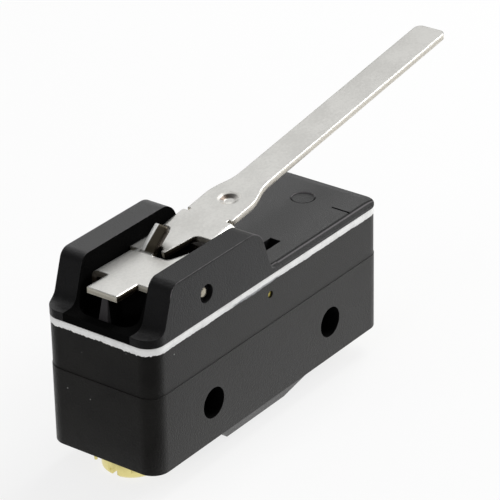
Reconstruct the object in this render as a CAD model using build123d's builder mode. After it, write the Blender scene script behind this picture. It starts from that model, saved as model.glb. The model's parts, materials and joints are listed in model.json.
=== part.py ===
from build123d import *
from math import atan, cos, degrees, radians, sin
import os

# A large snap action switch with a long hinge lever.
# Origin: midway between the two mounting holes, on the case's middle plane.
# +X runs along the case from the pivot end to the lever's tip, and +Z points up to the lever.

# Case
case_length = 49.2
case_width = 17.45
case_corner = 2.4
base_height = 11.0
cover_height = 6.05
seam_step = 0.07
end_wall = 1.5
cavity_width = 11.6
roof_thickness = 1.6

# Mounting holes across the case
hole_pitch = 25.4
hole_diameter = 4.2
hole_height = 5.36
hole_wall = 1.4

# Boss under the middle of the case
boss_start = 13.6
boss_length = 18.0
boss_depth = 1.9
boss_draft = 1.0
boss_lead_in = 2.1
boss_run_out = 3.5

# Seal band and lever bracket
seal_height = 1.01
seal_width = 1.3
deck_height = 0.64
deck_chamfer_run = 1.35
deck_chamfer_drop = 0.35
spigot_depth = 1.0
lip_height = 0.5
lip_length = 1.35
pocket_depth = 1.7
pocket_wall = 0.7
pocket_end = 24.0
pocket_corner = 3.0
ear_thickness = 3.5
ear_height = 6.65
ear_start = 2.22
ear_lead_in = 2.15
ear_end = 24.64
ear_run_out = 2.44
ear_front_round = 1.5
ear_back_round = 3.0
ear_front_flare = 1.6
ear_back_flare = 1.0
stop_rib_width = 0.8
stop_rib_flare = 0.4
stop_rib_slope = 0.65
stop_rib_length = 3.0
guide_collar_height = 2.1
guide_collar_wall = 1.2
deck_slot_length = 7.0
deck_slot_width = 1.7
deck_slot_from_side = 3.7
deck_slot_depth = 1.4
mark_from_end = 5.64
mark_diameter = 3.2
mark_depth = 0.12
score_from_end = 5.9
score_from_side = 1.0
score_length = 2.9
score_width = 0.3
score_depth = 0.2

# Pivot pin, in eyes that are sunk into the ears' outer faces
pivot_from_end = 11.0
pivot_above_deck = 2.65
pin_diameter = 1.5
pin_recess = 0.45
pin_eye_diameter = 2.5
pin_eye_depth = 0.8
pin_end_chamfer = 0.15

# Lever hub, measured along and across its sheet from the pivot pin
sheet = 0.8
sheet_bend = 1.1
hub_tilt = -1.25
hub_side_gap = 0.175
hub_tail = 9.6
hub_shoulder = 5.45
hub_heel = 1.55
hub_neck = 0.7
hub_neck_inset = 1.15
hub_reach = 12.0
hub_eye_radius = 1.8
hub_flange_drop = 0.5
tab_width = 4.7
window_length = 5.4
window_near = 2.4
window_far = 3.35
window_round = 0.8
finger_width = 2.3
finger_offset = 2.15
finger_root = 1.8
finger_foot_rise = 48.7
finger_foot_length = 1.33
finger_rise = 37.4
finger_length = 3.1
finger_bend = 0.9
finger_roll = 0.6
finger_tip_round = 0.35
window_start = 1.75
window_slant_start = -1.3
window_slant_length = 3.85

# Lever arm, measured the same way
arm_tilt = 8.33
arm_top = 1.48
arm_reach = 64.4
arm_width = 4.7
arm_flare_width = 7.1
arm_flare_length = 9.7
arm_taper = 3.35
arm_heel_inset = 0.47
arm_heel_start = 8.0
arm_heel_length = 4.15
arm_flare_round = 8.0
arm_corner = 1.0
arm_notch = 0.5
tongue_tip = 2.95
tongue_tip_near = -0.05
tongue_tip_far = 0.5
tongue_shoulder_start = 0.7
tongue_shoulder_length = 0.65
tongue_shoulder_far = 1.6
tongue_root_near = -1.35
tongue_root_far = 2.7
tongue_tip_round = 0.25
tongue_far_round = 0.6
tongue_near_round = 1.0
dimple_reach = 16.8
dimple_diameter = 3.0
dimple_floor_diameter = 1.3
dimple_depth = 0.45

# Plunger
plunger_reach = 9.0
plunger_diameter = 3.6
plunger_dome = 3.0
plunger_flange_diameter = 5.2
plunger_flange = 0.8
plunger_nose_diameter = 3.0
plunger_nose = 0.8

# Cover pin, and the base's tongues that it locks
cover_pin_from_end = 24.3
cover_pin_below_rim = 1.77
cover_pin_diameter = 0.9
cover_pin_recess = 0.3
tongue_width = 4.0
tongue_thickness = 1.3
tongue_over_pin = 0.6

# Fits
slide_gap = 0.05
seat_gap = 0.05
press_gap = 0.01
loose_gap = 0.3

# Terminals: brass strips with wide feet
strip = 1.0
strip_bend = 0.9
strip_width = 6.0
foot_width = 8.0
foot_recess = 0.5
open_riser_from_end = 8.4
closed_foot_start = 0.9

# Contacts
contact_diameter = 3.2
contact_head = 0.7
contact_from_end = 6.9
rivet_diameter = 1.6
arm_past_contact = 2.2

# Snap blade and snap spring
blade_sheet = 0.4
blade_width = 9.2
blade_window_width = 6.0
blade_window_start = 2.6
blade_crossbar = 5.9
blade_tip = 2.0
blade_tip_width = 5.0
blade_root = 10.5
blade_lip = 0.8
snap_angle = 2.2
spring_sheet = 0.25
spring_width = 2.8
spring_pad = 3.8
spring_bend = 1.5
spring_sag = 2.2

# Terminal screws and cup washers
screw_diameter = 4.0
screw_length = 4.0
screw_head_diameter = 8.0
screw_head_height = 2.4
screw_head_chamfer = 0.5
screw_slot_width = 1.1
screw_slot_depth = 1.2
common_screw_from_end = 6.0
open_screw_from_end = 5.4
washer_width = 8.6
washer_corner = 1.6
washer_thickness = 0.8
washer_tab_sheet = 0.4
washer_tab_width = 1.5
washer_tab_drop = 0.9

# Levels, from the case's bottom face to the top of the ears
bottom_z = -hole_height
foot_z = bottom_z + foot_recess
seam_z = bottom_z + base_height
cover_z = seam_z + cover_height
seal_z = cover_z + seal_height
deck_z = seal_z + deck_height
lip_z = deck_z + lip_height
ear_z = deck_z + ear_height
pocket_z = deck_z - pocket_depth
spigot_z = cover_z - spigot_depth
recess_z = spigot_z - seat_gap
roof_z = recess_z - roof_thickness
cavity_z = hole_diameter / 2 + hole_wall
cover_pin_z = cover_z - cover_pin_below_rim
under_head_z = foot_z - strip - washer_thickness
screw_tip_z = under_head_z + screw_length

# Places along and across the case
pivot_end = -case_length / 2
far_end = case_length / 2
side_y = case_width / 2
ear_gap = case_width - 2 * ear_thickness
hub_width = ear_gap - 2 * hub_side_gap
hub_neck_width = hub_width - 2 * hub_neck_inset
arm_heel_width = hub_width - 2 * arm_heel_inset
pivot_x = pivot_end + pivot_from_end
pivot_z = deck_z + pivot_above_deck
plunger_x = pivot_x + plunger_reach
cover_pin_x = pivot_end + cover_pin_from_end
tongue_y = (cavity_width + tongue_thickness) / 2
cavity_start = pivot_end + end_wall
cavity_end = far_end - strip - slide_gap - end_wall
common_riser_x = cavity_start + slide_gap + strip / 2
open_riser_x = far_end - open_riser_from_end
common_screw_x = pivot_end + common_screw_from_end
open_screw_x = far_end - open_screw_from_end
common_foot_length = common_screw_x - common_riser_x + (washer_width + strip) / 2
open_foot_length = open_screw_x - open_riser_x + (washer_width + strip) / 2
closed_foot_length = 2 * (hole_height - closed_foot_start)
spigot_length = case_length - 2 * seal_width
spigot_width = case_width - 2 * seal_width
spigot_corner = max(case_corner - seal_width, seal_width / 5)

# Contact stack, from the roof of the cavity downwards
contact_x = far_end - contact_from_end
blade_x = pivot_end + blade_root
closed_arm_z = roof_z - seat_gap - strip
closed_face_z = closed_arm_z - contact_head
blade_z = closed_face_z - seat_gap - contact_head - blade_sheet / 2
contact_sweep = (contact_x - blade_x + contact_diameter / 2) * sin(radians(snap_angle))
open_face_z = blade_z - blade_sheet / 2 - contact_head - contact_sweep - seat_gap
open_arm_z = open_face_z - contact_head
flange_z = roof_z - loose_gap
nose_z = flange_z - plunger_flange - plunger_nose
window_end_x = contact_x - blade_crossbar
washer_tab_radius = (washer_width - washer_corner) / 2**0.5 - washer_tab_sheet / 2

# Sheet planes of the two lever pieces: x along the sheet, z up out of it, origin on the pin
hub_plane = Plane(Location((pivot_x, 0, pivot_z), (0, -hub_tilt, 0)))
arm_plane = Plane(Location((pivot_x, 0, pivot_z), (0, -arm_tilt, 0)))
hub_under = pin_diameter / 2 + seat_gap
hub_top = hub_under + sheet
arm_under = arm_top - sheet
dome_z = (hub_under - plunger_dome + plunger_reach * sin(radians(hub_tilt))) / cos(radians(hub_tilt))
plunger_top_z = pivot_z + dome_z + plunger_dome - seat_gap
stop_reach = lip_length + stop_rib_length - pivot_from_end
stop_z = pivot_z + hub_under + stop_reach * sin(radians(hub_tilt)) - seat_gap
hub_half = (hub_width - sheet) / 2
heel_half = (arm_heel_width - sheet) / 2
foot_mid_z = foot_z - strip / 2
bend_relief = strip / 2 + strip_bend
rib_foot_x = pivot_end + lip_length
pocket_x = pivot_end + seal_width + pocket_wall
shelf_z = seal_z + deck_height / 2


def side_plane(sheet_plane, y=0.0):
    """Plane of a side profile of a lever piece, seen from -Y, at a distance y from the middle."""
    return Plane(
        origin=sheet_plane.origin + Vector(0, y, 0), x_dir=sheet_plane.x_dir, z_dir=(0, -1, 0)
    )


def cross_plane(sheet_plane, reach):
    """Plane square to a lever piece at a reach from the pin: local x is +Y, local y is up."""
    return Plane(
        origin=sheet_plane.origin + sheet_plane.x_dir * reach,
        x_dir=(0, 1, 0),
        z_dir=sheet_plane.x_dir,
    )


os.makedirs("parts", exist_ok=True)


# Case base: the lower moulding with its boss, mounting holes, cavity and terminal slots
with BuildPart() as case_base:
    with BuildSketch(Plane.XY.offset(bottom_z)):
        RectangleRounded(case_length, case_width, case_corner)
    extrude(amount=base_height)
    with BuildSketch(Plane.XY.offset(bottom_z)):
        with Locations((pivot_end + boss_start, 0)):
            Rectangle(boss_length, case_width, align=(Align.MIN, Align.CENTER))
    with BuildSketch(Plane.XY.offset(bottom_z - boss_depth)):
        with Locations((pivot_end + boss_start + boss_lead_in, 0)):
            Rectangle(
                boss_length - boss_lead_in - boss_run_out,
                case_width - 2 * boss_draft,
                align=(Align.MIN, Align.CENTER),
            )
    loft()
    with BuildSketch(Plane.XZ):
        with GridLocations(hole_pitch, 0, 2, 1):
            Circle(hole_diameter / 2)
    extrude(amount=case_width, both=True, mode=Mode.SUBTRACT)

    # Cavity for the mechanism, with a deeper part under the open terminal's arm
    with BuildSketch(Plane.XY.offset(seam_z)):
        with Locations((cavity_start, 0)):
            Rectangle(cavity_end - cavity_start, cavity_width, align=(Align.MIN, Align.CENTER))
    extrude(amount=cavity_z - seam_z, mode=Mode.SUBTRACT)
    with BuildSketch(Plane.XY.offset(seam_z)):
        with Locations((open_riser_x - strip / 2 - slide_gap, 0)):
            Rectangle(
                contact_x + arm_past_contact - open_riser_x + strip / 2 + 2 * slide_gap,
                strip_width + 2 * slide_gap,
                align=(Align.MIN, Align.CENTER),
            )
    extrude(amount=open_arm_z - strip - seat_gap - seam_z, mode=Mode.SUBTRACT)

    # Slots for the risers, recesses for the feet, and blind holes for the screw shanks
    with BuildSketch(Plane.XY.offset(bottom_z)):
        with Locations((common_riser_x, 0), (open_riser_x, 0)):
            Rectangle(strip + 2 * slide_gap, strip_width + 2 * slide_gap)
    extrude(amount=seam_z - bottom_z, mode=Mode.SUBTRACT)
    for bend_z in (foot_z, cavity_z - strip_bend):
        with BuildSketch(Plane.XY.offset(bend_z)):
            with Locations((common_riser_x, 0)):
                Rectangle(bend_relief, strip_width + 2 * slide_gap, align=(Align.MIN, Align.CENTER))
        extrude(amount=strip_bend, mode=Mode.SUBTRACT)
    for bend_z in (foot_z, open_arm_z - strip - seat_gap - strip_bend):
        with BuildSketch(Plane.XY.offset(bend_z)):
            with Locations((open_riser_x, 0)):
                Rectangle(bend_relief, strip_width + 2 * slide_gap, align=(Align.MIN, Align.CENTER))
        extrude(amount=strip_bend, mode=Mode.SUBTRACT)
    for riser_x, length in ((common_riser_x, common_foot_length), (open_riser_x, open_foot_length)):
        with BuildSketch(Plane.XY.offset(bottom_z)):
            with Locations((riser_x - strip / 2 - slide_gap, 0)):
                Rectangle(
                    length + 2 * slide_gap, foot_width + 2 * slide_gap, align=(Align.MIN, Align.CENTER)
                )
        extrude(amount=foot_recess, mode=Mode.SUBTRACT)
    with BuildSketch(Plane.XY.offset(bottom_z)):
        with Locations((common_screw_x, 0), (open_screw_x, 0)):
            Circle(screw_diameter / 2 + slide_gap)
    extrude(amount=screw_tip_z + loose_gap - bottom_z, mode=Mode.SUBTRACT)
    with BuildSketch(Plane.YZ.offset(far_end)):
        with Locations((0, bottom_z + closed_foot_start - slide_gap)):
            Rectangle(
                foot_width + 2 * slide_gap,
                closed_foot_length + 2 * slide_gap,
                align=(Align.CENTER, Align.MIN),
            )
            Rectangle(
                strip_width + 2 * slide_gap,
                base_height - closed_foot_start + slide_gap,
                align=(Align.CENTER, Align.MIN),
            )
    extrude(amount=-strip - slide_gap, mode=Mode.SUBTRACT)
    with BuildSketch(Plane.YZ.offset(far_end)):
        Circle(screw_diameter / 2 + slide_gap)
    extrude(amount=washer_thickness - screw_length - loose_gap, mode=Mode.SUBTRACT)

    # Tongues that stand up into the cover, crossed by the cover pin
    with BuildSketch(Plane.XY.offset(seam_z)):
        with Locations((cover_pin_x, tongue_y), (cover_pin_x, -tongue_y)):
            Rectangle(tongue_width, tongue_thickness)
    extrude(amount=cover_pin_z + tongue_over_pin - seam_z)
    with BuildSketch(Plane.XZ):
        with Locations((cover_pin_x, cover_pin_z)):
            Circle(cover_pin_diameter / 2 + slide_gap)
    extrude(amount=side_y, both=True, mode=Mode.SUBTRACT)
case_base.part.label = "case_base"
export_step(case_base.part, "parts/case_base.step")


# Case cover: the middle moulding, hollow below and recessed above for the bracket's spigot
with BuildPart() as case_cover:
    with BuildSketch(Plane.XY.offset(seam_z)):
        RectangleRounded(
            case_length - 2 * seam_step, case_width - 2 * seam_step, case_corner - seam_step
        )
    extrude(amount=cover_height)
    with BuildSketch(Plane.XY.offset(cover_z)):
        RectangleRounded(
            spigot_length + 2 * slide_gap, spigot_width + 2 * slide_gap, spigot_corner + slide_gap
        )
    extrude(amount=recess_z - cover_z, mode=Mode.SUBTRACT)
    with BuildSketch(Plane.XY.offset(seam_z)):
        with Locations((cavity_start, 0)):
            Rectangle(cavity_end - cavity_start, cavity_width, align=(Align.MIN, Align.CENTER))
    extrude(amount=roof_z - seam_z, mode=Mode.SUBTRACT)
    with BuildSketch(Plane.XY.offset(seam_z)):
        with Locations((cover_pin_x, tongue_y), (cover_pin_x, -tongue_y)):
            Rectangle(tongue_width + 2 * slide_gap, tongue_thickness + 2 * slide_gap)
    extrude(amount=recess_z - seam_z, mode=Mode.SUBTRACT)
    with BuildSketch(Plane.XZ):
        with Locations((cover_pin_x, cover_pin_z)):
            Circle(cover_pin_diameter / 2 + slide_gap)
    extrude(amount=case_width, both=True, mode=Mode.SUBTRACT)
    with BuildSketch(Plane.XY.offset(roof_z)):
        with Locations((plunger_x, 0)):
            Circle(plunger_diameter / 2 + slide_gap)
    extrude(amount=recess_z - roof_z, mode=Mode.SUBTRACT)

    # Notch in the far end for the closed terminal, and the way in for its arm
    with BuildSketch(Plane.YZ.offset(far_end)):
        with Locations((0, seam_z)):
            Rectangle(
                strip_width + 2 * slide_gap, roof_z - seam_z, align=(Align.CENTER, Align.MIN)
            )
    extrude(amount=-strip - slide_gap, mode=Mode.SUBTRACT)
    with BuildSketch(Plane.YZ.offset(far_end)):
        with Locations((0, roof_z)):
            Rectangle(
                strip_width + 2 * slide_gap,
                strip_bend + strip,
                align=(Align.CENTER, Align.MAX),
            )
    extrude(amount=cavity_end - far_end, mode=Mode.SUBTRACT)
case_cover.part.label = "case_cover"
export_step(case_cover.part, "parts/case_cover.step")


# Seal band: the ring that shows between the cover and the lever bracket
with BuildPart() as seal_band:
    with BuildSketch(Plane.XY.offset(cover_z)):
        RectangleRounded(case_length, case_width, case_corner)
        RectangleRounded(
            spigot_length + 2 * slide_gap,
            spigot_width + 2 * slide_gap,
            spigot_corner + slide_gap,
            mode=Mode.SUBTRACT,
        )
    extrude(amount=seal_height)
seal_band.part.label = "seal_band"
export_step(seal_band.part, "parts/seal_band.step")


# Lever bracket: the upper moulding with two ears, a lip, a pocket and a stop rib
ear_foot = (pivot_end + ear_start + ear_lead_in * lip_height / ear_height, lip_z)
ear_front = (pivot_end + ear_start + ear_lead_in, ear_z)
ear_back = (pivot_end + ear_end - ear_run_out, ear_z)
ear_heel = (pivot_end + ear_end, deck_z)
with BuildPart() as lever_bracket:
    with BuildSketch(Plane.XZ) as ear_profile:
        with BuildLine():
            Polyline(
                (pivot_end, seal_z),
                (pivot_end, lip_z),
                ear_foot,
                ear_front,
                ear_back,
                ear_heel,
                (ear_heel[0] + 2 * ear_back_flare, deck_z),
                (ear_heel[0] + 2 * ear_back_flare, seal_z),
                close=True,
            )
        make_face()
        for corner, radius in (
            (ear_foot, ear_front_flare),
            (ear_front, ear_front_round),
            (ear_back, ear_back_round),
            (ear_heel, ear_back_flare),
        ):
            fillet(ear_profile.vertices().sort_by_distance(corner)[0], radius)
    extrude(amount=side_y, both=True)
    with BuildSketch(Plane.XY.offset(seal_z)):
        RectangleRounded(case_length, case_width, case_corner)
    extrude(amount=ear_z - seal_z, mode=Mode.INTERSECT)
    with BuildSketch(Plane.XY.offset(lip_z)) as ear_space:
        with Locations((pivot_end + lip_length, 0)):
            Rectangle(case_length, ear_gap, align=(Align.MIN, Align.CENTER))
        fillet(ear_space.vertices().group_by(Axis.X)[0], pocket_corner)
    extrude(amount=ear_height, mode=Mode.SUBTRACT)

    # Deck with a bevelled rim, and the spigot that sits in the cover's recess
    with BuildSketch(Plane.XY.offset(deck_z - deck_chamfer_drop)):
        RectangleRounded(case_length, case_width, case_corner)
    with BuildSketch(Plane.XY.offset(deck_z)):
        RectangleRounded(
            case_length - 2 * deck_chamfer_run, case_width - 2 * deck_chamfer_run, case_corner / 2
        )
    loft()
    with BuildSketch(Plane.XY.offset(seal_z)):
        RectangleRounded(case_length, case_width, case_corner)
    extrude(amount=deck_height - deck_chamfer_drop)
    with BuildSketch(Plane.XY.offset(seal_z)):
        RectangleRounded(spigot_length, spigot_width, spigot_corner)
    extrude(amount=spigot_z - seal_z)

    # Pocket between the ears, shallow behind the lip and deeper inside the spigot
    for start_x, floor_z in ((rib_foot_x, shelf_z), (pocket_x, pocket_z)):
        with BuildSketch(Plane.XY.offset(lip_z)) as pocket:
            with Locations((start_x, 0)):
                Rectangle(
                    pivot_end + pocket_end - start_x, ear_gap, align=(Align.MIN, Align.CENTER)
                )
            fillet(pocket.vertices().group_by(Axis.X)[0], pocket_corner)
        extrude(amount=floor_z - lip_z, mode=Mode.SUBTRACT)
    with BuildSketch(Plane.XY.offset(deck_z)):
        with Locations((ear_heel[0] + deck_slot_length / 2, 0)):
            with GridLocations(0, case_width - 2 * deck_slot_from_side - deck_slot_width, 1, 2):
                Rectangle(deck_slot_length, deck_slot_width)
    extrude(amount=-deck_slot_depth, mode=Mode.SUBTRACT)

    # Stop rib under the hub's tail, widening at its foot, and the plunger's guide collar
    for start_x, rib_z in ((rib_foot_x, shelf_z), (pocket_x, pocket_z)):
        with BuildSketch(Plane.YZ.offset(start_x)):
            with BuildLine():
                Polyline(
                    (-stop_rib_width / 2, stop_z),
                    (stop_rib_width / 2, stop_z),
                    (stop_rib_width / 2 + stop_rib_flare, rib_z),
                    (-stop_rib_width / 2 - stop_rib_flare, rib_z),
                    close=True,
                )
            make_face()
        extrude(amount=rib_foot_x + stop_rib_length - start_x)
    with BuildSketch(Plane.XZ):
        with BuildLine():
            Polyline(
                (rib_foot_x, shelf_z),
                (rib_foot_x + stop_rib_slope, stop_z),
                (rib_foot_x, stop_z),
                close=True,
            )
        make_face()
    extrude(amount=stop_rib_width / 2 + stop_rib_flare, both=True, mode=Mode.SUBTRACT)
    with BuildSketch(Plane.XY.offset(pocket_z)):
        with Locations((plunger_x, 0)):
            Circle(plunger_diameter / 2 + slide_gap + guide_collar_wall)
    extrude(amount=guide_collar_height)
    with BuildSketch(Plane.XY.offset(spigot_z)):
        with Locations((plunger_x, 0)):
            Circle(plunger_diameter / 2 + slide_gap)
    extrude(amount=ear_z - spigot_z, mode=Mode.SUBTRACT)

    # Bores for the pivot pin, sunk eyes round their outer ends, and two marks in the deck
    with BuildSketch(Plane.XZ):
        with Locations((pivot_x, pivot_z)):
            Circle(pin_diameter / 2 + press_gap)
    extrude(amount=side_y, both=True, mode=Mode.SUBTRACT)
    for face_y in (-side_y, side_y):
        with BuildSketch(Plane.XZ.offset(-face_y)):
            with Locations((pivot_x, pivot_z)):
                Circle(pin_eye_diameter / 2)
        extrude(amount=pin_eye_depth if face_y > 0 else -pin_eye_depth, mode=Mode.SUBTRACT)
    with BuildSketch(Plane.XY.offset(deck_z)):
        with Locations((far_end - mark_from_end, 0)):
            Circle(mark_diameter / 2)
    extrude(amount=-mark_depth, mode=Mode.SUBTRACT)
    with BuildSketch(Plane.XY.offset(deck_z)):
        with Locations((far_end - score_from_end, score_from_side - side_y)):
            Rectangle(score_width, score_length, align=(Align.CENTER, Align.MIN))
    extrude(amount=-score_depth, mode=Mode.SUBTRACT)
lever_bracket.part.label = "lever_bracket"
export_step(lever_bracket.part, "parts/lever_bracket.step")


# Pivot pin and cover pin: plain rods across the ears and across the cover
with BuildPart() as pivot_pin:
    with BuildSketch(Plane.XZ):
        with Locations((pivot_x, pivot_z)):
            Circle(pin_diameter / 2)
    extrude(amount=side_y - pin_recess, both=True)
    chamfer(pivot_pin.edges().filter_by(GeomType.CIRCLE), pin_end_chamfer)
pivot_pin.part.label = "pivot_pin"
export_step(pivot_pin.part, "parts/pivot_pin.step")

with BuildPart() as cover_pin:
    with BuildSketch(Plane.XZ):
        with Locations((cover_pin_x, cover_pin_z)):
            Circle(cover_pin_diameter / 2)
    extrude(amount=side_y - seam_step - cover_pin_recess, both=True)
cover_pin.part.label = "cover_pin"
export_step(cover_pin.part, "parts/cover_pin.step")


# Lever hub: a folded plate with a tail tab, flanges on the pin, a window and a lanced finger.
# The finger stands up from the window's end, and its far edge is rolled over.
finger_knee = (
    finger_root + finger_foot_length * cos(radians(finger_foot_rise)),
    hub_top - sheet / 2 + finger_foot_length * sin(radians(finger_foot_rise)),
)
with BuildPart() as finger:
    with BuildSketch(side_plane(hub_plane, finger_offset + finger_width / 2)):
        with BuildLine():
            FilletPolyline(
                (0, hub_top - sheet / 2),
                (finger_root, hub_top - sheet / 2),
                finger_knee,
                (
                    finger_knee[0] + finger_length * cos(radians(finger_rise)),
                    finger_knee[1] + finger_length * sin(radians(finger_rise)),
                ),
                radius=finger_bend,
            )
        trace(line_width=sheet)
    extrude(amount=finger_width)
    finger_top = finger.faces().filter_by(
        lambda face: face.normal_at().Z > abs(face.normal_at().Y) and face.normal_at().X < sheet / 10
    )
    fillet(finger_top.edges().group_by(Axis.Y)[-1], finger_roll)
    finger_end = finger.faces().sort_by(hub_plane.location.x_axis)[-1]
    fillet(finger_end.edges().sort_by(Axis.Y)[0], finger_tip_round)

with BuildPart() as lever_hub:
    with BuildSketch(cross_plane(hub_plane, -hub_shoulder)):
        with BuildLine():
            FilletPolyline(
                (-hub_half, -hub_eye_radius),
                (-hub_half, hub_top - sheet / 2),
                (hub_half, hub_top - sheet / 2),
                (hub_half, -hub_eye_radius),
                radius=sheet_bend - sheet / 2,
            )
        trace(line_width=sheet)
    extrude(amount=hub_shoulder + hub_eye_radius)
    with BuildSketch(side_plane(hub_plane)):
        Circle(hub_eye_radius)
        with Locations((-hub_shoulder, hub_top)):
            Rectangle(
                hub_shoulder + hub_heel, hub_top + hub_flange_drop, align=(Align.MIN, Align.MAX)
            )
    extrude(amount=hub_width, both=True, mode=Mode.INTERSECT)

    # Flat sheet from the tail tab to the far edge, with the window cut through it
    with BuildSketch(hub_plane.offset(hub_under)) as hub_sheet:
        with Locations((-hub_tail, 0)):
            Rectangle(hub_tail, tab_width, align=(Align.MIN, Align.CENTER))
        Rectangle(hub_heel + hub_neck, hub_neck_width, align=(Align.MIN, Align.CENTER))
        with Locations((hub_heel + hub_neck, 0)):
            Rectangle(
                hub_reach - hub_heel - hub_neck, hub_width, align=(Align.MIN, Align.CENTER)
            )
        fillet(hub_sheet.vertices().group_by(Axis.X)[-1], window_round)
    extrude(amount=sheet)
    with BuildSketch(hub_plane.offset(hub_under)) as window:
        with BuildLine():
            Polyline(
                (window_start, window_far),
                (window_start, window_slant_start),
                (window_start + window_slant_length, -window_near),
                (window_start + window_length, -window_near),
                (window_start + window_length, window_far),
                close=True,
            )
        make_face()
        fillet(window.vertices(), window_round)
    extrude(amount=sheet, mode=Mode.SUBTRACT)

    # Finger, and the pin's running bore through the flanges
    add(finger.part)
    with BuildSketch(side_plane(hub_plane)):
        Circle(pin_diameter / 2 + slide_gap)
    extrude(amount=hub_width, both=True, mode=Mode.SUBTRACT)
lever_hub.part.label = "lever_hub"
export_step(lever_hub.part, "parts/lever_hub.step")


# Lever arm: the long strip, with a tongue under the finger and flanges that stand on the hub
flare_end = arm_heel_start + arm_flare_length
shoulder_x = tongue_tip + tongue_shoulder_start
dimple_slant = degrees(atan((dimple_diameter - dimple_floor_diameter) / 2 / dimple_depth))
with BuildPart() as lever_arm:
    with BuildSketch(cross_plane(arm_plane, arm_heel_start)):
        with BuildLine():
            FilletPolyline(
                (-heel_half, 0),
                (-heel_half, arm_top - sheet / 2),
                (heel_half, arm_top - sheet / 2),
                (heel_half, 0),
                radius=sheet_bend - sheet / 2,
            )
        trace(line_width=sheet)
    extrude(amount=arm_heel_length)
    with BuildSketch(hub_plane.offset(hub_top + seat_gap)):
        Rectangle(2 * hub_reach, hub_width)
    extrude(amount=-hub_width, mode=Mode.SUBTRACT)
    with BuildSketch(arm_plane.offset(arm_under)) as arm_sheet:
        with BuildLine():
            Polyline(
                (arm_heel_start, arm_flare_width / 2),
                (flare_end, arm_flare_width / 2),
                (flare_end + arm_taper, arm_width / 2),
                (arm_reach, arm_width / 2),
                (arm_reach, -arm_width / 2),
                (flare_end + arm_taper, -arm_width / 2),
                (flare_end, -arm_flare_width / 2),
                (arm_heel_start, -arm_flare_width / 2),
                (arm_heel_start, tongue_root_near),
                (tongue_tip, tongue_tip_near),
                (tongue_tip, tongue_tip_far),
                (shoulder_x, tongue_tip_far),
                (shoulder_x + tongue_shoulder_length, tongue_shoulder_far),
                (arm_heel_start, tongue_root_far),
                close=True,
            )
        make_face()
        flare_corners = arm_sheet.vertices().filter_by_position(
            Axis.X, flare_end - arm_taper / 2, flare_end + 2 * arm_taper
        )
        fillet(flare_corners, arm_flare_round)
        for corner, radius in (
            ((arm_reach, arm_width / 2), arm_corner),
            ((arm_reach, -arm_width / 2), arm_corner),
            ((arm_heel_start, tongue_root_near), tongue_near_round),
            ((arm_heel_start, tongue_root_far), tongue_far_round),
            ((shoulder_x + tongue_shoulder_length, tongue_shoulder_far), tongue_far_round),
            ((shoulder_x, tongue_tip_far), tongue_tip_round),
            ((tongue_tip, tongue_tip_far), tongue_tip_round),
            ((tongue_tip, tongue_tip_near), tongue_tip_round),
        ):
            fillet(arm_sheet.vertices().sort_by_distance(corner)[0], radius)
        with Locations((arm_heel_start + arm_heel_length, 0)):
            with GridLocations(0, arm_flare_width, 1, 2):
                Rectangle(2 * arm_notch, 2 * arm_notch, mode=Mode.SUBTRACT)
    extrude(amount=sheet)

    # Round dimple with slanted walls, sunk into the top and raised below
    with BuildSketch(arm_plane.offset(arm_under)):
        with Locations((dimple_reach, 0)):
            Circle(dimple_diameter / 2)
    extrude(amount=-dimple_depth, taper=dimple_slant)
    with BuildSketch(arm_plane.offset(arm_top)):
        with Locations((dimple_reach, 0)):
            Circle(dimple_diameter / 2)
    extrude(amount=-dimple_depth, taper=dimple_slant, mode=Mode.SUBTRACT)
lever_arm.part.label = "lever_arm"
export_step(lever_arm.part, "parts/lever_arm.step")


# Plunger: a domed rod with a flange under the roof and a nose on the snap spring
with BuildPart() as plunger:
    with BuildSketch(Plane.XZ):
        with BuildLine():
            dome_drop = plunger_dome - (plunger_dome**2 - plunger_diameter**2 / 4) ** 0.5
            RadiusArc(
                (plunger_x, plunger_top_z),
                (plunger_x + plunger_diameter / 2, plunger_top_z - dome_drop),
                plunger_dome,
            )
            Polyline(
                (plunger_x + plunger_diameter / 2, plunger_top_z - dome_drop),
                (plunger_x + plunger_diameter / 2, flange_z),
                (plunger_x + plunger_flange_diameter / 2, flange_z),
                (plunger_x + plunger_flange_diameter / 2, flange_z - plunger_flange),
                (plunger_x + plunger_nose_diameter / 2, flange_z - plunger_flange),
                (plunger_x + plunger_nose_diameter / 2, nose_z),
                (plunger_x, nose_z),
                (plunger_x, plunger_top_z),
            )
        make_face()
    revolve(axis=Axis((plunger_x, 0, 0), (0, 0, 1)))
plunger.part.label = "plunger"
export_step(plunger.part, "parts/plunger.step")


# Common terminal: foot, riser and arm, ending in the lip whose groove carries the snap blade
arm_mid_z = cavity_z + seat_gap + strip / 2
with BuildPart() as common_terminal:
    with BuildSketch(Plane.XZ):
        with BuildLine():
            FilletPolyline(
                (common_riser_x + common_foot_length - strip / 2, foot_mid_z),
                (common_riser_x, foot_mid_z),
                (common_riser_x, arm_mid_z),
                (blade_x - strip / 2, arm_mid_z),
                (blade_x - strip / 2, blade_z + blade_lip),
                radius=strip_bend,
            )
        trace(line_width=strip)
    extrude(amount=strip_width / 2, both=True)
    with BuildSketch(Plane.XY.offset(foot_z)):
        with Locations((common_riser_x + strip_bend, 0)):
            Rectangle(
                common_foot_length - strip / 2 - strip_bend,
                foot_width,
                align=(Align.MIN, Align.CENTER),
            )
    extrude(amount=-strip)
    with BuildSketch(Plane.XY.offset(foot_z)):
        with Locations((common_screw_x, 0)):
            Circle(screw_diameter / 2 + slide_gap)
    extrude(amount=-strip, mode=Mode.SUBTRACT)
    with BuildSketch(Plane.XZ):
        with Locations((blade_x, blade_z)):
            Circle(blade_sheet / 2 + slide_gap)
    extrude(amount=strip_width, both=True, mode=Mode.SUBTRACT)
common_terminal.part.label = "common_terminal"
export_step(common_terminal.part, "parts/common_terminal.step")


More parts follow.
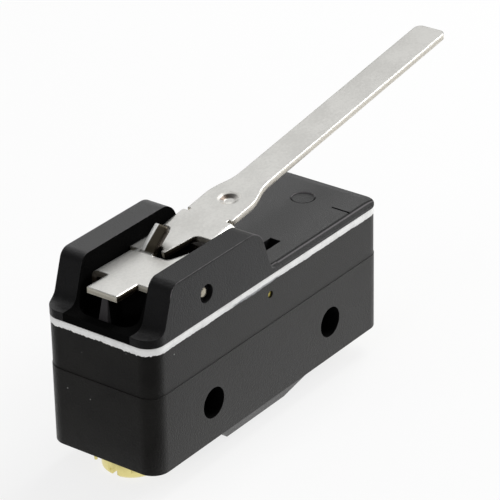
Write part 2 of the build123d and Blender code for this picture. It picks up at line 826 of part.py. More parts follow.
# Open terminal: foot, riser and a short arm under the open contact
with BuildPart() as open_terminal:
    with BuildSketch(Plane.XZ):
        with BuildLine():
            FilletPolyline(
                (open_riser_x + open_foot_length - strip / 2, foot_mid_z),
                (open_riser_x, foot_mid_z),
                (open_riser_x, open_arm_z - strip / 2),
                (contact_x + arm_past_contact, open_arm_z - strip / 2),
                radius=strip_bend,
            )
        trace(line_width=strip)
    extrude(amount=strip_width / 2, both=True)
    with BuildSketch(Plane.XY.offset(foot_z)):
        with Locations((open_riser_x + strip_bend, 0)):
            Rectangle(
                open_foot_length - strip / 2 - strip_bend,
                foot_width,
                align=(Align.MIN, Align.CENTER),
            )
    extrude(amount=-strip)
    with BuildSketch(Plane.XY.offset(foot_z)):
        with Locations((open_screw_x, 0)):
            Circle(screw_diameter / 2 + slide_gap)
    extrude(amount=-strip, mode=Mode.SUBTRACT)
    with BuildSketch(Plane.XY.offset(open_arm_z)):
        with Locations((contact_x, 0)):
            Circle(rivet_diameter / 2 + slide_gap)
    extrude(amount=-strip, mode=Mode.SUBTRACT)
open_terminal.part.label = "open_terminal"
export_step(open_terminal.part, "parts/open_terminal.step")


# Closed terminal: a foot on the far end, and an arm that reaches in over the blade
closed_foot_z = bottom_z + closed_foot_start
with BuildPart() as closed_terminal:
    with BuildSketch(Plane.XZ):
        with BuildLine():
            FilletPolyline(
                (far_end - strip / 2, closed_foot_z),
                (far_end - strip / 2, closed_arm_z + strip / 2),
                (contact_x - arm_past_contact, closed_arm_z + strip / 2),
                radius=strip_bend,
            )
        trace(line_width=strip)
    extrude(amount=strip_width / 2, both=True)
    with BuildSketch(Plane.YZ.offset(far_end)):
        with Locations((0, closed_foot_z)):
            Rectangle(foot_width, closed_foot_length, align=(Align.CENTER, Align.MIN))
    extrude(amount=-strip)
    with BuildSketch(Plane.YZ.offset(far_end)):
        Circle(screw_diameter / 2 + slide_gap)
    extrude(amount=-strip, mode=Mode.SUBTRACT)
    with BuildSketch(Plane.XY.offset(closed_arm_z)):
        with Locations((contact_x, 0)):
            Circle(rivet_diameter / 2 + slide_gap)
    extrude(amount=strip, mode=Mode.SUBTRACT)
closed_terminal.part.label = "closed_terminal"
export_step(closed_terminal.part, "parts/closed_terminal.step")


# Contact rivets: two fixed ones, and a double headed one in the end of the snap blade
with BuildPart() as closed_contact:
    with BuildSketch(Plane.XY.offset(closed_face_z)):
        with Locations((contact_x, 0)):
            Circle(contact_diameter / 2)
    extrude(amount=contact_head)
    with BuildSketch(Plane.XY.offset(closed_arm_z)):
        with Locations((contact_x, 0)):
            Circle(rivet_diameter / 2)
    extrude(amount=strip)
closed_contact.part.label = "closed_contact"
export_step(closed_contact.part, "parts/closed_contact.step")

with BuildPart() as open_contact:
    with BuildSketch(Plane.XY.offset(open_face_z)):
        with Locations((contact_x, 0)):
            Circle(contact_diameter / 2)
    extrude(amount=-contact_head)
    with BuildSketch(Plane.XY.offset(open_arm_z)):
        with Locations((contact_x, 0)):
            Circle(rivet_diameter / 2)
    extrude(amount=-strip)
open_contact.part.label = "open_contact"
export_step(open_contact.part, "parts/open_contact.step")

with BuildPart() as moving_contact:
    with BuildSketch(Plane.XY.offset(blade_z)):
        with Locations((contact_x, 0)):
            Circle(contact_diameter / 2)
    extrude(amount=blade_sheet / 2 + contact_head, both=True)
    with BuildSketch(Plane.XY.offset(blade_z)):
        with Locations((contact_x, 0)):
            Circle(contact_diameter / 2)
            Circle(rivet_diameter / 2, mode=Mode.SUBTRACT)
    extrude(amount=blade_sheet / 2, both=True, mode=Mode.SUBTRACT)
moving_contact.part.label = "moving_contact"
export_step(moving_contact.part, "parts/moving_contact.step")


# Snap blade: a sheet frame with a rounded root in the groove and the moving contact at its tip
blade_end_x = contact_x + blade_tip
with BuildPart() as snap_blade:
    with BuildSketch(Plane.XY.offset(blade_z)):
        with BuildLine():
            Polyline(
                (blade_x, blade_width / 2),
                (window_end_x, blade_width / 2),
                (contact_x - blade_tip, blade_tip_width / 2),
                (blade_end_x, blade_tip_width / 2),
                (blade_end_x, -blade_tip_width / 2),
                (contact_x - blade_tip, -blade_tip_width / 2),
                (window_end_x, -blade_width / 2),
                (blade_x, -blade_width / 2),
                close=True,
            )
        make_face()
        with Locations((blade_x + blade_window_start, 0)):
            Rectangle(
                window_end_x - blade_x - blade_window_start,
                blade_window_width,
                align=(Align.MIN, Align.CENTER),
                mode=Mode.SUBTRACT,
            )
        with Locations((contact_x, 0)):
            Circle(rivet_diameter / 2 + slide_gap, mode=Mode.SUBTRACT)
    extrude(amount=blade_sheet / 2, both=True)
    with BuildSketch(Plane.XZ):
        with Locations((blade_x, blade_z)):
            Circle(blade_sheet / 2)
    extrude(amount=blade_width / 2, both=True)
snap_blade.part.label = "snap_blade"
export_step(snap_blade.part, "parts/snap_blade.step")


# Snap spring: a bowed leaf inside the blade's window, from its root under the nose to the crossbar
crest_z = nose_z - seat_gap - spring_sheet / 2
spring_start_x = blade_x + blade_window_start + seat_gap
spring_end_x = window_end_x - seat_gap
with BuildPart() as snap_spring:
    with BuildSketch(Plane.XZ):
        with BuildLine():
            FilletPolyline(
                (spring_start_x, blade_z),
                (plunger_x - spring_pad / 2, crest_z),
                (plunger_x + spring_pad / 2, crest_z),
                ((plunger_x + spring_end_x) / 2, blade_z - spring_sag),
                (spring_end_x, blade_z),
                radius=spring_bend,
            )
        trace(line_width=spring_sheet)
    extrude(amount=spring_width / 2, both=True)
snap_spring.part.label = "snap_spring"
export_step(snap_spring.part, "parts/snap_spring.step")


# Terminal screws and cup washers: one pair on each foot, local z pointing away from the case
terminals = (
    ("common", Plane((common_screw_x, 0, under_head_z), x_dir=(1, 0, 0), z_dir=(0, 0, -1))),
    ("open", Plane((open_screw_x, 0, under_head_z), x_dir=(1, 0, 0), z_dir=(0, 0, -1))),
    ("closed", Plane((far_end + washer_thickness, 0, 0), x_dir=(0, 1, 0), z_dir=(1, 0, 0))),
)
for name, seat in terminals:
    with BuildPart() as terminal_screw:
        with BuildSketch(seat):
            Circle(screw_head_diameter / 2)
        extrude(amount=screw_head_height)
        chamfer(
            terminal_screw.edges().sort_by(Axis(seat.origin, seat.z_dir))[-1], screw_head_chamfer
        )
        with BuildSketch(seat.offset(screw_head_height)):
            Rectangle(2 * screw_head_diameter, screw_slot_width)
        extrude(amount=-screw_slot_depth, mode=Mode.SUBTRACT)
        with BuildSketch(seat):
            Circle(screw_diameter / 2)
        extrude(amount=-screw_length)
    terminal_screw.part.label = f"{name}_screw"
    export_step(terminal_screw.part, f"parts/{name}_screw.step")

    with BuildPart() as cup_washer:
        with BuildSketch(seat) as washer_face:
            Rectangle(washer_width, washer_width)
            chamfer(washer_face.vertices(), washer_corner)
            Circle(screw_diameter / 2 + loose_gap / 2, mode=Mode.SUBTRACT)
        extrude(amount=-washer_thickness)
        with BuildSketch(seat.offset(-washer_thickness)):
            with PolarLocations(washer_tab_radius, 4, start_angle=45):
                Rectangle(washer_tab_sheet, washer_tab_width)
        extrude(amount=washer_thickness + washer_tab_drop)
    cup_washer.part.label = f"{name}_washer"
    export_step(cup_washer.part, f"parts/{name}_washer.step")
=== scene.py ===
"""The looks of a large snap action switch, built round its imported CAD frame.

Every length in a class is in millimetres unless its name says otherwise, and every mesh is in metres, in the
frame of the part: +X from the pivot end to the lever's tip, +Y to the far side, +Z up to the lever.
"""

import json
import logging
import math
from collections.abc import Iterator
from contextlib import contextmanager
from dataclasses import dataclass, field
from enum import Enum
from functools import cached_property

import bmesh
import bpy
import numpy as np
from mathutils import Matrix, Vector

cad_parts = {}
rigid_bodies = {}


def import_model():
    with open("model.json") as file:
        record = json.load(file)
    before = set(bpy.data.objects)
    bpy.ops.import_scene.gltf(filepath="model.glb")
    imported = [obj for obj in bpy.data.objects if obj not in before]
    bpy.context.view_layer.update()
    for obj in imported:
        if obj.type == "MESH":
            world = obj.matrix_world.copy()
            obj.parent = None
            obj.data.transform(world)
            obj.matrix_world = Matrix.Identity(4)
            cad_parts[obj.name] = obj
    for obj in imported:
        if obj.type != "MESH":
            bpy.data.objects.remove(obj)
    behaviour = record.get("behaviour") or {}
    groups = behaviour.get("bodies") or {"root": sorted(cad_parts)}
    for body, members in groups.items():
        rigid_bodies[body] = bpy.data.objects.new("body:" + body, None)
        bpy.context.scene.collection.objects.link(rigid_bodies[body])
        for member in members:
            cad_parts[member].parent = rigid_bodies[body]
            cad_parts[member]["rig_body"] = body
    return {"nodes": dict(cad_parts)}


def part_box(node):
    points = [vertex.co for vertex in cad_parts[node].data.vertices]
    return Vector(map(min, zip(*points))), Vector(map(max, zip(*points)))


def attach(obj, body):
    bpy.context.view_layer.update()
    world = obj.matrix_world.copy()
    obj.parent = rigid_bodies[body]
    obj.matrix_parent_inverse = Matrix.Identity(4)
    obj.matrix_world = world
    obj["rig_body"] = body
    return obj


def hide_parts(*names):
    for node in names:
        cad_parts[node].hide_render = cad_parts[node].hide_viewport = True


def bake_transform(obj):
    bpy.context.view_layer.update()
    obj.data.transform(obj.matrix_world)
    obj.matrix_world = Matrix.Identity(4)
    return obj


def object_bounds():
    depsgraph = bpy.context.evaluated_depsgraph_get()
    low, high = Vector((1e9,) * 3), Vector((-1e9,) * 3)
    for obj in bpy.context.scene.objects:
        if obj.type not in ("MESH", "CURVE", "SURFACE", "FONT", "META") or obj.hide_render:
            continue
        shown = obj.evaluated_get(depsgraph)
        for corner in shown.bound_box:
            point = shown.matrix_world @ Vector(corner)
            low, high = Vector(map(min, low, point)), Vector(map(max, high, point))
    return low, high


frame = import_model()
CAD_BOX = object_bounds()

Span = tuple[float, float]
Direction = tuple[float, float, float]
Colour = tuple[float, float, float, float]
Band = tuple[float, float, float, float]

MM = 0.001
WHITE: Colour = (1.0, 1.0, 1.0, 1.0)
AWAY: Direction = (0.8, 0.6, 0.0)  # in plan, from the photograph's camera to the far corner
SHARP = 32.0  # edges that turn by more degrees than this stay sharp
FLAT = 0.5  # faces that turn by fewer degrees than this are made one
WELD = 0.0005  # points closer than this are made one
log = logging.getLogger("switch")


class Body(Enum):
    """The moving group that a new piece rides on, where no CAD node gives it."""

    HOUSING = "housing"


class Slot(Enum):
    """The record's material slots."""

    SEAL = "seal"
    BRASS = "brass"
    SPRING = "spring_metal"


class Wire:
    """A shader socket that takes part in arithmetic: each operation adds one Math node."""

    def __init__(self, graph: "Graph", socket: bpy.types.NodeSocket) -> None:
        """Keeps the graph that the socket belongs to."""
        self.graph = graph
        self.socket = socket

    def _math(self, operation: str, first: "Wire | float", second: "Wire | float") -> "Wire":
        """Adds a Math node.

        Args:
            operation: The node's operation.
            first: Its first value.
            second: Its second value.

        Returns:
            The node's result.
        """
        return self.graph.add("ShaderNodeMath", {"operation": operation}, {0: first, 1: second})

    def __add__(self, other: "Wire | float") -> "Wire":
        """Sum."""
        return self._math("ADD", self, other)

    __radd__ = __add__

    def __sub__(self, other: "Wire | float") -> "Wire":
        """Difference."""
        return self._math("SUBTRACT", self, other)

    def __rsub__(self, other: "Wire | float") -> "Wire":
        """Difference from a number."""
        return self._math("SUBTRACT", other, self)

    def __mul__(self, other: "Wire | float") -> "Wire":
        """Product."""
        return self._math("MULTIPLY", self, other)

    __rmul__ = __mul__

    def __pow__(self, other: "Wire | float") -> "Wire":
        """Power."""
        return self._math("POWER", self, other)

    def __abs__(self) -> "Wire":
        """Size without its sign."""
        return self._math("ABSOLUTE", self, 0.0)


class Graph:
    """The node tree of one material, or of the world."""

    def __init__(self, tree: bpy.types.NodeTree) -> None:
        """Empties the tree."""
        self.tree = tree
        tree.nodes.clear()

    def add(
        self, kind: str, settings: dict | None = None, sockets: dict | None = None, output: int | str = 0
    ) -> Wire:
        """Makes one node.

        Args:
            kind: The node's type.
            settings: Its own properties, set first.
            sockets: A number, colour or Wire for each socket, by name or index.
            output: The output to return.

        Returns:
            The output as a Wire, or a Wire on nothing for an output node.
        """
        node = self.tree.nodes.new(kind)
        for key, value in (settings or {}).items():
            setattr(node, key, value)
        for key, value in (sockets or {}).items():
            if isinstance(value, Wire):
                self.tree.links.new(value.socket, node.inputs[key])
            else:
                node.inputs[key].default_value = value
        return Wire(self, node.outputs[output] if len(node.outputs) else None)

    @cached_property
    def at(self) -> Wire:
        """Object coordinates, in millimetres."""
        source = self.add("ShaderNodeTexCoord", output="Object")
        return self.add("ShaderNodeMapping", {}, {"Vector": source, "Scale": (1 / MM, 1 / MM, 1 / MM)})

    @cached_property
    def axes(self) -> tuple[Wire, ...]:
        """Object coordinates along X, along Y and along Z, in millimetres."""
        return tuple(self.add("ShaderNodeSeparateXYZ", {}, {0: self.at}, name) for name in "XYZ")

    def rays(self) -> tuple[Wire, ...]:
        """Three Wires that are 1 for a camera ray, for a glossy ray and for a transmission ray."""
        kinds = ("Is Camera Ray", "Is Glossy Ray", "Is Transmission Ray")
        return tuple(self.add("ShaderNodeLightPath", output=kind) for kind in kinds)

    def noise(self, feature: float, detail: float = 2.0, roughness: float = 0.5) -> Wire:
        """Cloud noise on object coordinates.

        Args:
            feature: Size of its largest features, in millimetres.
            detail: Number of finer octaves.
            roughness: Share of the finer octaves.

        Returns:
            A value round 0.5.
        """
        values = {"Vector": self.at, "Scale": 1 / feature, "Detail": detail, "Roughness": roughness}
        return self.add("ShaderNodeTexNoise", {}, values)

    def steps(self, value: Wire, low: float, high: float) -> Wire:
        """Smooth step from 0 where value is at low to 1 where it is at high."""
        sockets = {0: value, 1: low, 2: high, 3: 0.0, 4: 1.0}
        return self.add("ShaderNodeMapRange", {"interpolation_type": "SMOOTHSTEP"}, sockets)

    def band(self, value: Wire, band: Band) -> Wire:
        """Share that is 1 within a band, given as where it starts, is whole, starts to fade and is gone."""
        start, whole, fade, gone = band
        return self.steps(value, start, whole) * self.steps(value, gone, fade)

    def dot(self, vector: Wire, other: Wire | Direction) -> Wire:
        """Dot product of two vectors."""
        sockets = {0: vector, 1: other}
        return self.add("ShaderNodeVectorMath", {"operation": "DOT_PRODUCT"}, sockets, "Value")

    def mix(self, share: Wire | float, first: Colour | Wire, second: Colour | Wire) -> Wire:
        """Colour from first, at share 0, to second, at share 1."""
        return self.add("ShaderNodeMix", {"data_type": "RGBA"}, {0: share, 6: first, 7: second}, 2)

    def soft_edges(self, radius: float) -> Wire:
        """Normal that is rounded over each sharp edge by a radius in millimetres."""
        return self.add("ShaderNodeBevel", {"samples": 6}, {"Radius": radius * MM})

    def near_edge(self, rounded: Wire) -> Wire:
        """Share that is 1 on a sharp edge, from how far a rounded normal leans from the true one."""
        lean = self.dot(rounded, self.add("ShaderNodeNewGeometry", output="Normal"))
        return self.steps(lean, 0.985, 0.86)

    def bump(self, height: Wire, depth: float, under: Wire | None = None) -> Wire:
        """Normal of a relief.

        Args:
            height: Relief from 0 to 1.
            depth: What 1 stands for, in millimetres.
            under: A normal that the relief is laid on.

        Returns:
            The new normal.
        """
        sockets = {"Height": height, "Distance": depth * MM, "Strength": 1.0}
        if under is not None:
            sockets["Normal"] = under
        return self.add("ShaderNodeBump", {}, sockets)

    def surface(self, sockets: dict, share: Wire | None = None, other: dict | None = None) -> None:
        """Ends a material.

        Args:
            sockets: Sockets of its Principled shader.
            share: Where this is 1, a second Principled shader takes over.
            other: The second shader's sockets.
        """
        shader = self.add("ShaderNodeBsdfPrincipled", {}, sockets)
        if share is not None:
            second = self.add("ShaderNodeBsdfPrincipled", {}, other)
            shader = self.add("ShaderNodeMixShader", {}, {0: share, 1: shader, 2: second})
        self.add("ShaderNodeOutputMaterial", {}, {"Surface": shader})


def placed(name: str, data: bpy.types.ID) -> bpy.types.Object:
    """Makes an object on some data and links it to the scene.

    Args:
        name: The object's name.
        data: Its mesh, lamp or camera.

    Returns:
        The object.
    """
    made = bpy.data.objects.new(name, data)
    bpy.context.scene.collection.objects.link(made)
    return made


@contextmanager
def edited(mesh: bpy.types.Mesh, source: bpy.types.Mesh | None = None) -> Iterator[bmesh.types.BMesh]:
    """Opens a mesh for bmesh and writes it back at the end.

    Args:
        mesh: The mesh to write.
        source: The mesh to start from, where it is another one.

    Yields:
        The open mesh.
    """
    work = bmesh.new()
    work.from_mesh(source or mesh)
    yield work
    work.to_mesh(mesh)
    work.free()


def colour(red: float, green: float, blue: float) -> Colour:
    """Turns display values into linear light by the sRGB curve.

    Args:
        red: Red, from 0 to 255.
        green: Green, from 0 to 255.
        blue: Blue, from 0 to 255.

    Returns:
        The opaque colour.
    """
    levels = np.array([red, green, blue]) / 255
    linear = np.where(levels <= 0.04045, levels / 12.92, ((levels + 0.055) / 1.055) ** 2.4)
    return (*(float(v) for v in linear), 1.0)


@dataclass(frozen=True)
class Finish:
    """One finish, made once and shared by the pieces that have it."""

    name: str

    def nodes(self, graph: Graph) -> None:
        """Builds the finish's nodes."""
        raise NotImplementedError

    def material(self) -> bpy.types.Material:
        """The finish's material, made at its first use.

        Returns:
            The material.
        """
        found = bpy.data.materials.get(self.name)
        if found is None:
            found = bpy.data.materials.new(self.name)
            found.use_nodes = True
            self.nodes(Graph(found.node_tree))
        return found

    def dress(self, piece: bpy.types.Object) -> None:
        """Gives a piece this finish alone."""
        piece.data.materials.clear()
        piece.data.materials.append(self.material())


@dataclass(frozen=True)
class Moulding(Finish):
    """Dark moulded plastic: fine sparked grain, cloudy gloss and a few pale specks of dust.

    Painted shade: a hole or recess in it gets a second shader, duller and darker.
    """

    dark: Colour = colour(26, 25, 24)
    light: Colour = colour(34, 33, 31)
    roughness: float = 0.42
    gloss_spread: float = 0.12
    ior: float = 1.48
    edge: float = 0.12
    cloud: float = 6.0
    grain: float = 0.18
    grain_depth: float = 0.07
    wave: float = 9.0
    wave_depth: float = 0.02
    dust: Colour = colour(190, 190, 188)
    dust_share: float = 0.75
    speck_cells: float = 0.45
    speck_chance: float = 0.14
    speck_size: float = 0.05
    # painted shade: colour, roughness and IOR of the darker shader laid where dull() says
    hollow_shade: Colour = colour(11, 11, 11)
    hollow_shade_roughness: float = 0.9
    hollow_shade_ior: float = 1.12

    def dull(self, graph: Graph) -> Wire | None:
        """Share of a surface under painted shade, darker and without gloss, such as the inside of a hole, or
        None for nowhere.
        """
        return None

    def marks(self, graph: Graph, base: Wire, soft: Wire) -> Wire:
        """Base colour with the marks that one piece alone has."""
        return base

    def specks(self, graph: Graph) -> Wire:
        """Specks are the cores of a few cells, which their random colours pick.

        Args:
            graph: The finish's graph.

        Returns:
            Share that is 1 in a speck.
        """
        cells = {"Vector": graph.at, "Scale": self.speck_cells, "Randomness": 1.0}
        core = graph.add("ShaderNodeTexVoronoi", {}, cells)
        tint = graph.add("ShaderNodeTexVoronoi", {}, cells, "Color")
        chance = graph.add("ShaderNodeSeparateColor", {}, {0: tint})
        few = graph.steps(chance, 1 - self.speck_chance, 1.01 - self.speck_chance)
        return graph.steps(core, self.speck_size, 0.4 * self.speck_size) * few

    def nodes(self, graph: Graph) -> None:
        """Grain is fine noise as relief, tone and gloss drift with a broad noise, and waves bend the surface.

        Args:
            graph: The finish's graph.
        """
        clouds = graph.noise(self.cloud, 4.0, 0.6)
        grain = graph.noise(self.grain, 2.0, 0.6)
        soft = graph.soft_edges(self.edge)
        tone = graph.mix(graph.steps(clouds * 0.6 + grain * 0.4, 0.35, 0.65), self.dark, self.light)
        base = graph.mix(self.specks(graph) * self.dust_share, tone, self.dust)
        waves = graph.bump(graph.noise(self.wave, 1.0), self.wave_depth, soft)
        normal = graph.bump(grain, self.grain_depth, waves)
        shiny = {
            "Base Color": self.marks(graph, base, soft),
            "Roughness": self.roughness + (clouds - 0.5) * self.gloss_spread,
            "Normal": normal,
            "IOR": self.ior,
        }
        # second shader: painted shade, dark and nearly without gloss
        plain = {
            "Base Color": self.hollow_shade,
            "Roughness": self.hollow_shade_roughness,
            "Normal": normal,
            "IOR": self.hollow_shade_ior,
        }
        graph.surface(shiny, self.dull(graph), plain)


@dataclass(frozen=True)
class CaseMoulding(Moulding):
    """The base and the cover: painted shade, dull and darker, inside the mounting holes, with a grey film
    where the seal was smeared.

    The film's middle and half size are along X and Z, and near_side is where it starts and is whole along Y.
    """

    pitch: float = 25.4
    hole: float = 4.2
    film: Colour = colour(168, 170, 174)
    film_share: float = 0.75
    film_middle: Span = (-3.3, 11.8)
    film_half: Span = (5.6, 0.42)
    film_streak: float = 0.9
    near_side: Span = (-8.4, -8.6)

    def dull(self, graph: Graph) -> Wire | None:
        """Painted shade inside a hole: there, the distance from the nearer hole's axis is under the hole's
        radius.

        Args:
            graph: The finish's graph.

        Returns:
            Share of painted shade, 1 inside the holes.
        """
        x, _, z = graph.axes
        away = ((abs(x) - self.pitch / 2) ** 2 + z**2) ** 0.5
        return graph.steps(away, self.hole / 2 + 0.03, self.hole / 2)

    def marks(self, graph: Graph, base: Wire, soft: Wire) -> Wire:
        """The film is an oval below the seal on the near side, broken up by noise.

        Args:
            graph: The finish's graph.
            base: The base colour so far.
            soft: The normal over softened edges; not used.

        Returns:
            The base colour with the film.
        """
        x, y, z = graph.axes
        right = (x - self.film_middle[0]) * (1 / self.film_half[0])
        up = (z - self.film_middle[1]) * (1 / self.film_half[1])
        oval = right**2 + up**2
        streaks = graph.noise(self.film_streak, 4.0, 0.7)
        share = graph.steps(streaks - oval * 0.3, 0.30, 0.50) * graph.steps(oval, 1.0, 0.6)
        share = share * graph.steps(y, *self.near_side)
        return graph.mix(share * self.film_share, base, self.film)


@dataclass(frozen=True)
class BracketMoulding(Moulding):
    """The lever bracket: painted shade in its pocket, painted highlights on its ears' edges, and painted
    shade and highlight lining its deck's rim.

    The pocket reaches half_gap to each side and pocket_end along X, between ears as high as top. The deck's
    flat starts past the ears, ends at deck_end, is deck_half wide to each side and lies at deck_level. Along
    its near rim run a slant and a groove darkened by painted shade and a pale line of painted highlight, as
    distances beyond the flat. The round mark has a near arc of painted shade and a far wall of painted
    highlight, as distances beyond its radius, each with the two distances past its middle, away from the
    camera, where its half starts and is whole. A share is how far a place changes.
    """

    top: float = 20.0
    # share of painted shade on the near ear's top
    lid_share: float = 0.42
    half_gap: float = 5.225
    pocket_end: float = 0.04
    rib_front: Span = (-23.3, -22.5)
    rib_half: float = 0.85
    rib_foot: float = 12.3
    deck_start: Span = (0.8, 1.0)
    deck_end: float = 23.25
    deck_half: float = 7.375
    deck_level: float = 13.34
    # bands of painted shade (slant, groove) and of painted highlight (line) along the deck's near rim
    slant: Band = (0.0, 0.08, 1.29, 1.33)
    groove: Band = (0.12, 0.22, 0.34, 0.44)
    line: Band = (0.40, 0.50, 0.64, 0.74)
    mark_place: float = 18.96
    mark_radius: float = 1.6
    # bands of painted shade (arc) and of painted highlight (wall) round the round mark
    arc: Band = (-0.20, -0.08, 0.08, 0.20)
    arc_half: Span = (0.3, -0.4)
    wall: Band = (-0.03, -0.01, 0.01, 0.02)
    wall_half: Span = (-0.4, 0.3)
    # shares of painted shade and of painted highlight; rib_gloss is how much painted shade the rib's front is
    # spared
    slant_shares: Span = (0.15, 0.3)
    groove_share: float = 0.5
    end_share: float = 0.25
    arc_share: float = 0.95
    line_share: float = 0.4
    wall_share: float = 0.6
    rib_share: float = 0.10
    rib_gloss: float = 0.8
    # colour of the painted highlights
    painted_highlight: Colour = colour(180, 174, 178)

    def on_rib(self, graph: Graph) -> Wire:
        """Finds the slanted front of the stop rib in the pocket.

        Args:
            graph: The finish's graph.

        Returns:
            Share that is 1 there.
        """
        start, end = self.rib_front
        x, y, z = graph.axes
        along = graph.band(x, (start, start + 0.04, end - 0.05, end))
        across = graph.steps(abs(y), self.rib_half, self.rib_half - 0.04)
        return along * across * graph.steps(z, self.rib_foot, self.rib_foot + 0.1)

    def on_deck(self, graph: Graph) -> Wire:
        """Finds the deck and what is below it, past the ears.

        Args:
            graph: The finish's graph.

        Returns:
            Share that is 1 there.
        """
        x, _, z = graph.axes
        level = self.deck_level
        return graph.steps(x, *self.deck_start) * graph.steps(z, level + 0.1, level + 0.05)

    def on_ring(self, graph: Graph, band: Band, half: Span) -> Wire:
        """Finds half of a ring round the middle of the round mark.

        Args:
            graph: The finish's graph.
            band: The ring, as distances beyond the mark's radius.
            half: Distances past the mark's middle, away from the camera, where the half starts and is whole.

        Returns:
            Share that is 1 there.
        """
        x, y, z = graph.axes
        right = x - self.mark_place
        beyond = (right**2 + y**2) ** 0.5 - self.mark_radius
        share = graph.band(beyond, band) * graph.steps(right * AWAY[0] + y * AWAY[1], *half)
        return share * graph.steps(z, self.deck_level - 0.2, self.deck_level - 0.15)

    def dull(self, graph: Graph) -> Wire | None:
        """Painted shade, dull and darker, lies on the pocket and the round mark's near arc, and in part on
        the near ear's top and the deck's rim and end.

        Args:
            graph: The finish's graph.

        Returns:
            Share of painted shade, which keeps no gloss.
        """
        x, y, z = graph.axes
        # painted shade in the pocket between the ears
        inside = graph.steps(abs(y), self.half_gap + 0.06, self.half_gap + 0.01)
        inside = inside * graph.steps(x, self.pocket_end + 0.1, self.pocket_end)
        # the rib's front keeps most of its gloss, out of the painted shade
        inside = inside * (1 - self.on_rib(graph) * self.rib_gloss)
        # painted shade on the near ear's top
        lid = graph.steps(z, self.top - 0.3, self.top - 0.1) * (graph.steps(y, 2.0, -2.0) * self.lid_share)
        # painted shade on the deck's near rim: the slant and the groove
        out = -self.deck_half - y
        upper, more = self.slant_shares
        slant = graph.band(out, self.slant) * (graph.steps(out, 0.3, 0.4) * more + upper)
        groove = graph.band(out, self.groove) * self.groove_share
        # painted shade past the deck's end
        end = graph.steps(x, self.deck_end + 0.02, self.deck_end + 0.1)
        end = end * graph.steps(y, -self.deck_half, 0.1 - self.deck_half) * self.end_share
        # painted shade on the round mark's near arc
        arc = self.on_ring(graph, self.arc, self.arc_half) * self.arc_share
        return inside + (1 - inside) * lid + self.on_deck(graph) * (slant + groove + end + arc)

    def marks(self, graph: Graph, base: Wire, soft: Wire) -> Wire:
        """Painted highlights are the deck's pale line, the mark's pale far wall, the rib's front and the
        ears' edges, which a fine noise interrupts.

        Args:
            graph: The finish's graph.
            base: The base colour so far.
            soft: The normal over softened edges.

        Returns:
            The base colour with the painted highlights.
        """
        _, y, z = graph.axes
        line = graph.band(-self.deck_half - y, self.line) * self.on_deck(graph) * self.line_share
        wall = self.on_ring(graph, self.wall, self.wall_half) * self.wall_share
        pale = line + wall + self.on_rib(graph) * self.rib_share
        fine = graph.noise(0.8, 3.0, 0.6)
        # painted highlight along the ears' top edges, broken by fine noise
        rim = graph.near_edge(soft) * graph.steps(fine, 0.3, 0.5)
        rim = rim * graph.steps(z, self.top - 2.0, self.top - 1.0)
        return graph.mix(rim, graph.mix(pale, base, self.painted_highlight), self.painted_highlight)


@dataclass(frozen=True)
class Compound(Finish):
    """White sealing compound: greyer in patches, with dark chips where the wear attribute is high.

    Its lower edge is thin and grey where it was smeared on the near side. The smear has a middle and a half
    length along X.
    """

    white: Colour = colour(250, 250, 249)
    grey: Colour = colour(228, 228, 227)
    chip: Colour = colour(40, 42, 48)
    thin: Colour = colour(134, 136, 140)
    patch: float = 1.6
    fine: float = 0.35
    relief: float = 0.03
    smear_middle: float = -3.3
    smear_half: float = 5.8
    smear_top: float = 11.98
    smear_streak: float = 0.9
    near_side: Span = (-8.3, -8.5)
    chip_share: float = 0.9
    thin_share: float = 0.85
    roughness: float = 0.6
    ior: float = 1.45

    def smear(self, graph: Graph) -> Wire:
        """Finds the thin compound: within the smear, below a height that wanders.

        Args:
            graph: The finish's graph.

        Returns:
            Share that is 1 there.
        """
        x, y, z = graph.axes
        share = graph.steps(abs(x - self.smear_middle), self.smear_half, self.smear_half * 0.7)
        share = share * graph.steps(y, *self.near_side)
        height = z + (graph.noise(self.smear_streak, 4.0, 0.7) - 0.5) * 0.4
        return share * graph.steps(height, self.smear_top, self.smear_top - 0.2)

    def nodes(self, graph: Graph) -> None:
        """Patches come from broad noise, and chips where fine noise is above a level that the wear lowers.

        Args:
            graph: The finish's graph.
        """
        wear = graph.add("ShaderNodeAttribute", {"attribute_name": "wear"}, {}, "Fac")
        patches = graph.steps(graph.noise(self.patch, 4.0, 0.65), 0.42, 0.72)
        fine = graph.noise(self.fine, 3.0, 0.7)
        chips = graph.steps(fine + wear * 0.26, 0.84, 0.88)
        base = graph.mix(patches * 0.75 + wear * 0.25, self.white, self.grey)
        base = graph.mix(chips * self.chip_share, base, self.chip)
        base = graph.mix(self.smear(graph) * self.thin_share, base, self.thin)
        normal = graph.bump(fine, self.relief)
        graph.surface({"Base Color": base, "Roughness": self.roughness, "Normal": normal, "IOR": self.ior})


@dataclass(frozen=True)
class SheetPlace:
    """Where a point lies on a sheet and which way it faces, worked out once for the finish and its marks.

    The sheet is the finish itself, with its tones, and the graph is its material's.

    Depth is the height above the sheet's underside as a share of its thickness. Up is how far the surface
    faces along the sheet's own normal. Cut is 1 on a cut edge, and flank is 1 on a face that looks along Y.
    """

    sheet: "Sheet"
    graph: Graph
    x: Wire
    y: Wire
    depth: Wire
    up: Wire
    cut: Wire
    flank: Wire


@dataclass(frozen=True)
class SheetMarks:
    """The painted shade and highlights, with any relief, that one sheet alone has on top of its satin."""

    def draw(self, place: SheetPlace, base: Wire, soft: Wire) -> tuple[Wire, Wire, Wire]:
        """Adds the marks.

        Args:
            place: Where a point lies on the sheet.
            base: The base colour so far.
            soft: The normal so far.

        Returns:
            The new base colour, the share that the marks take from Metallic, and the new normal.
        """
        raise NotImplementedError


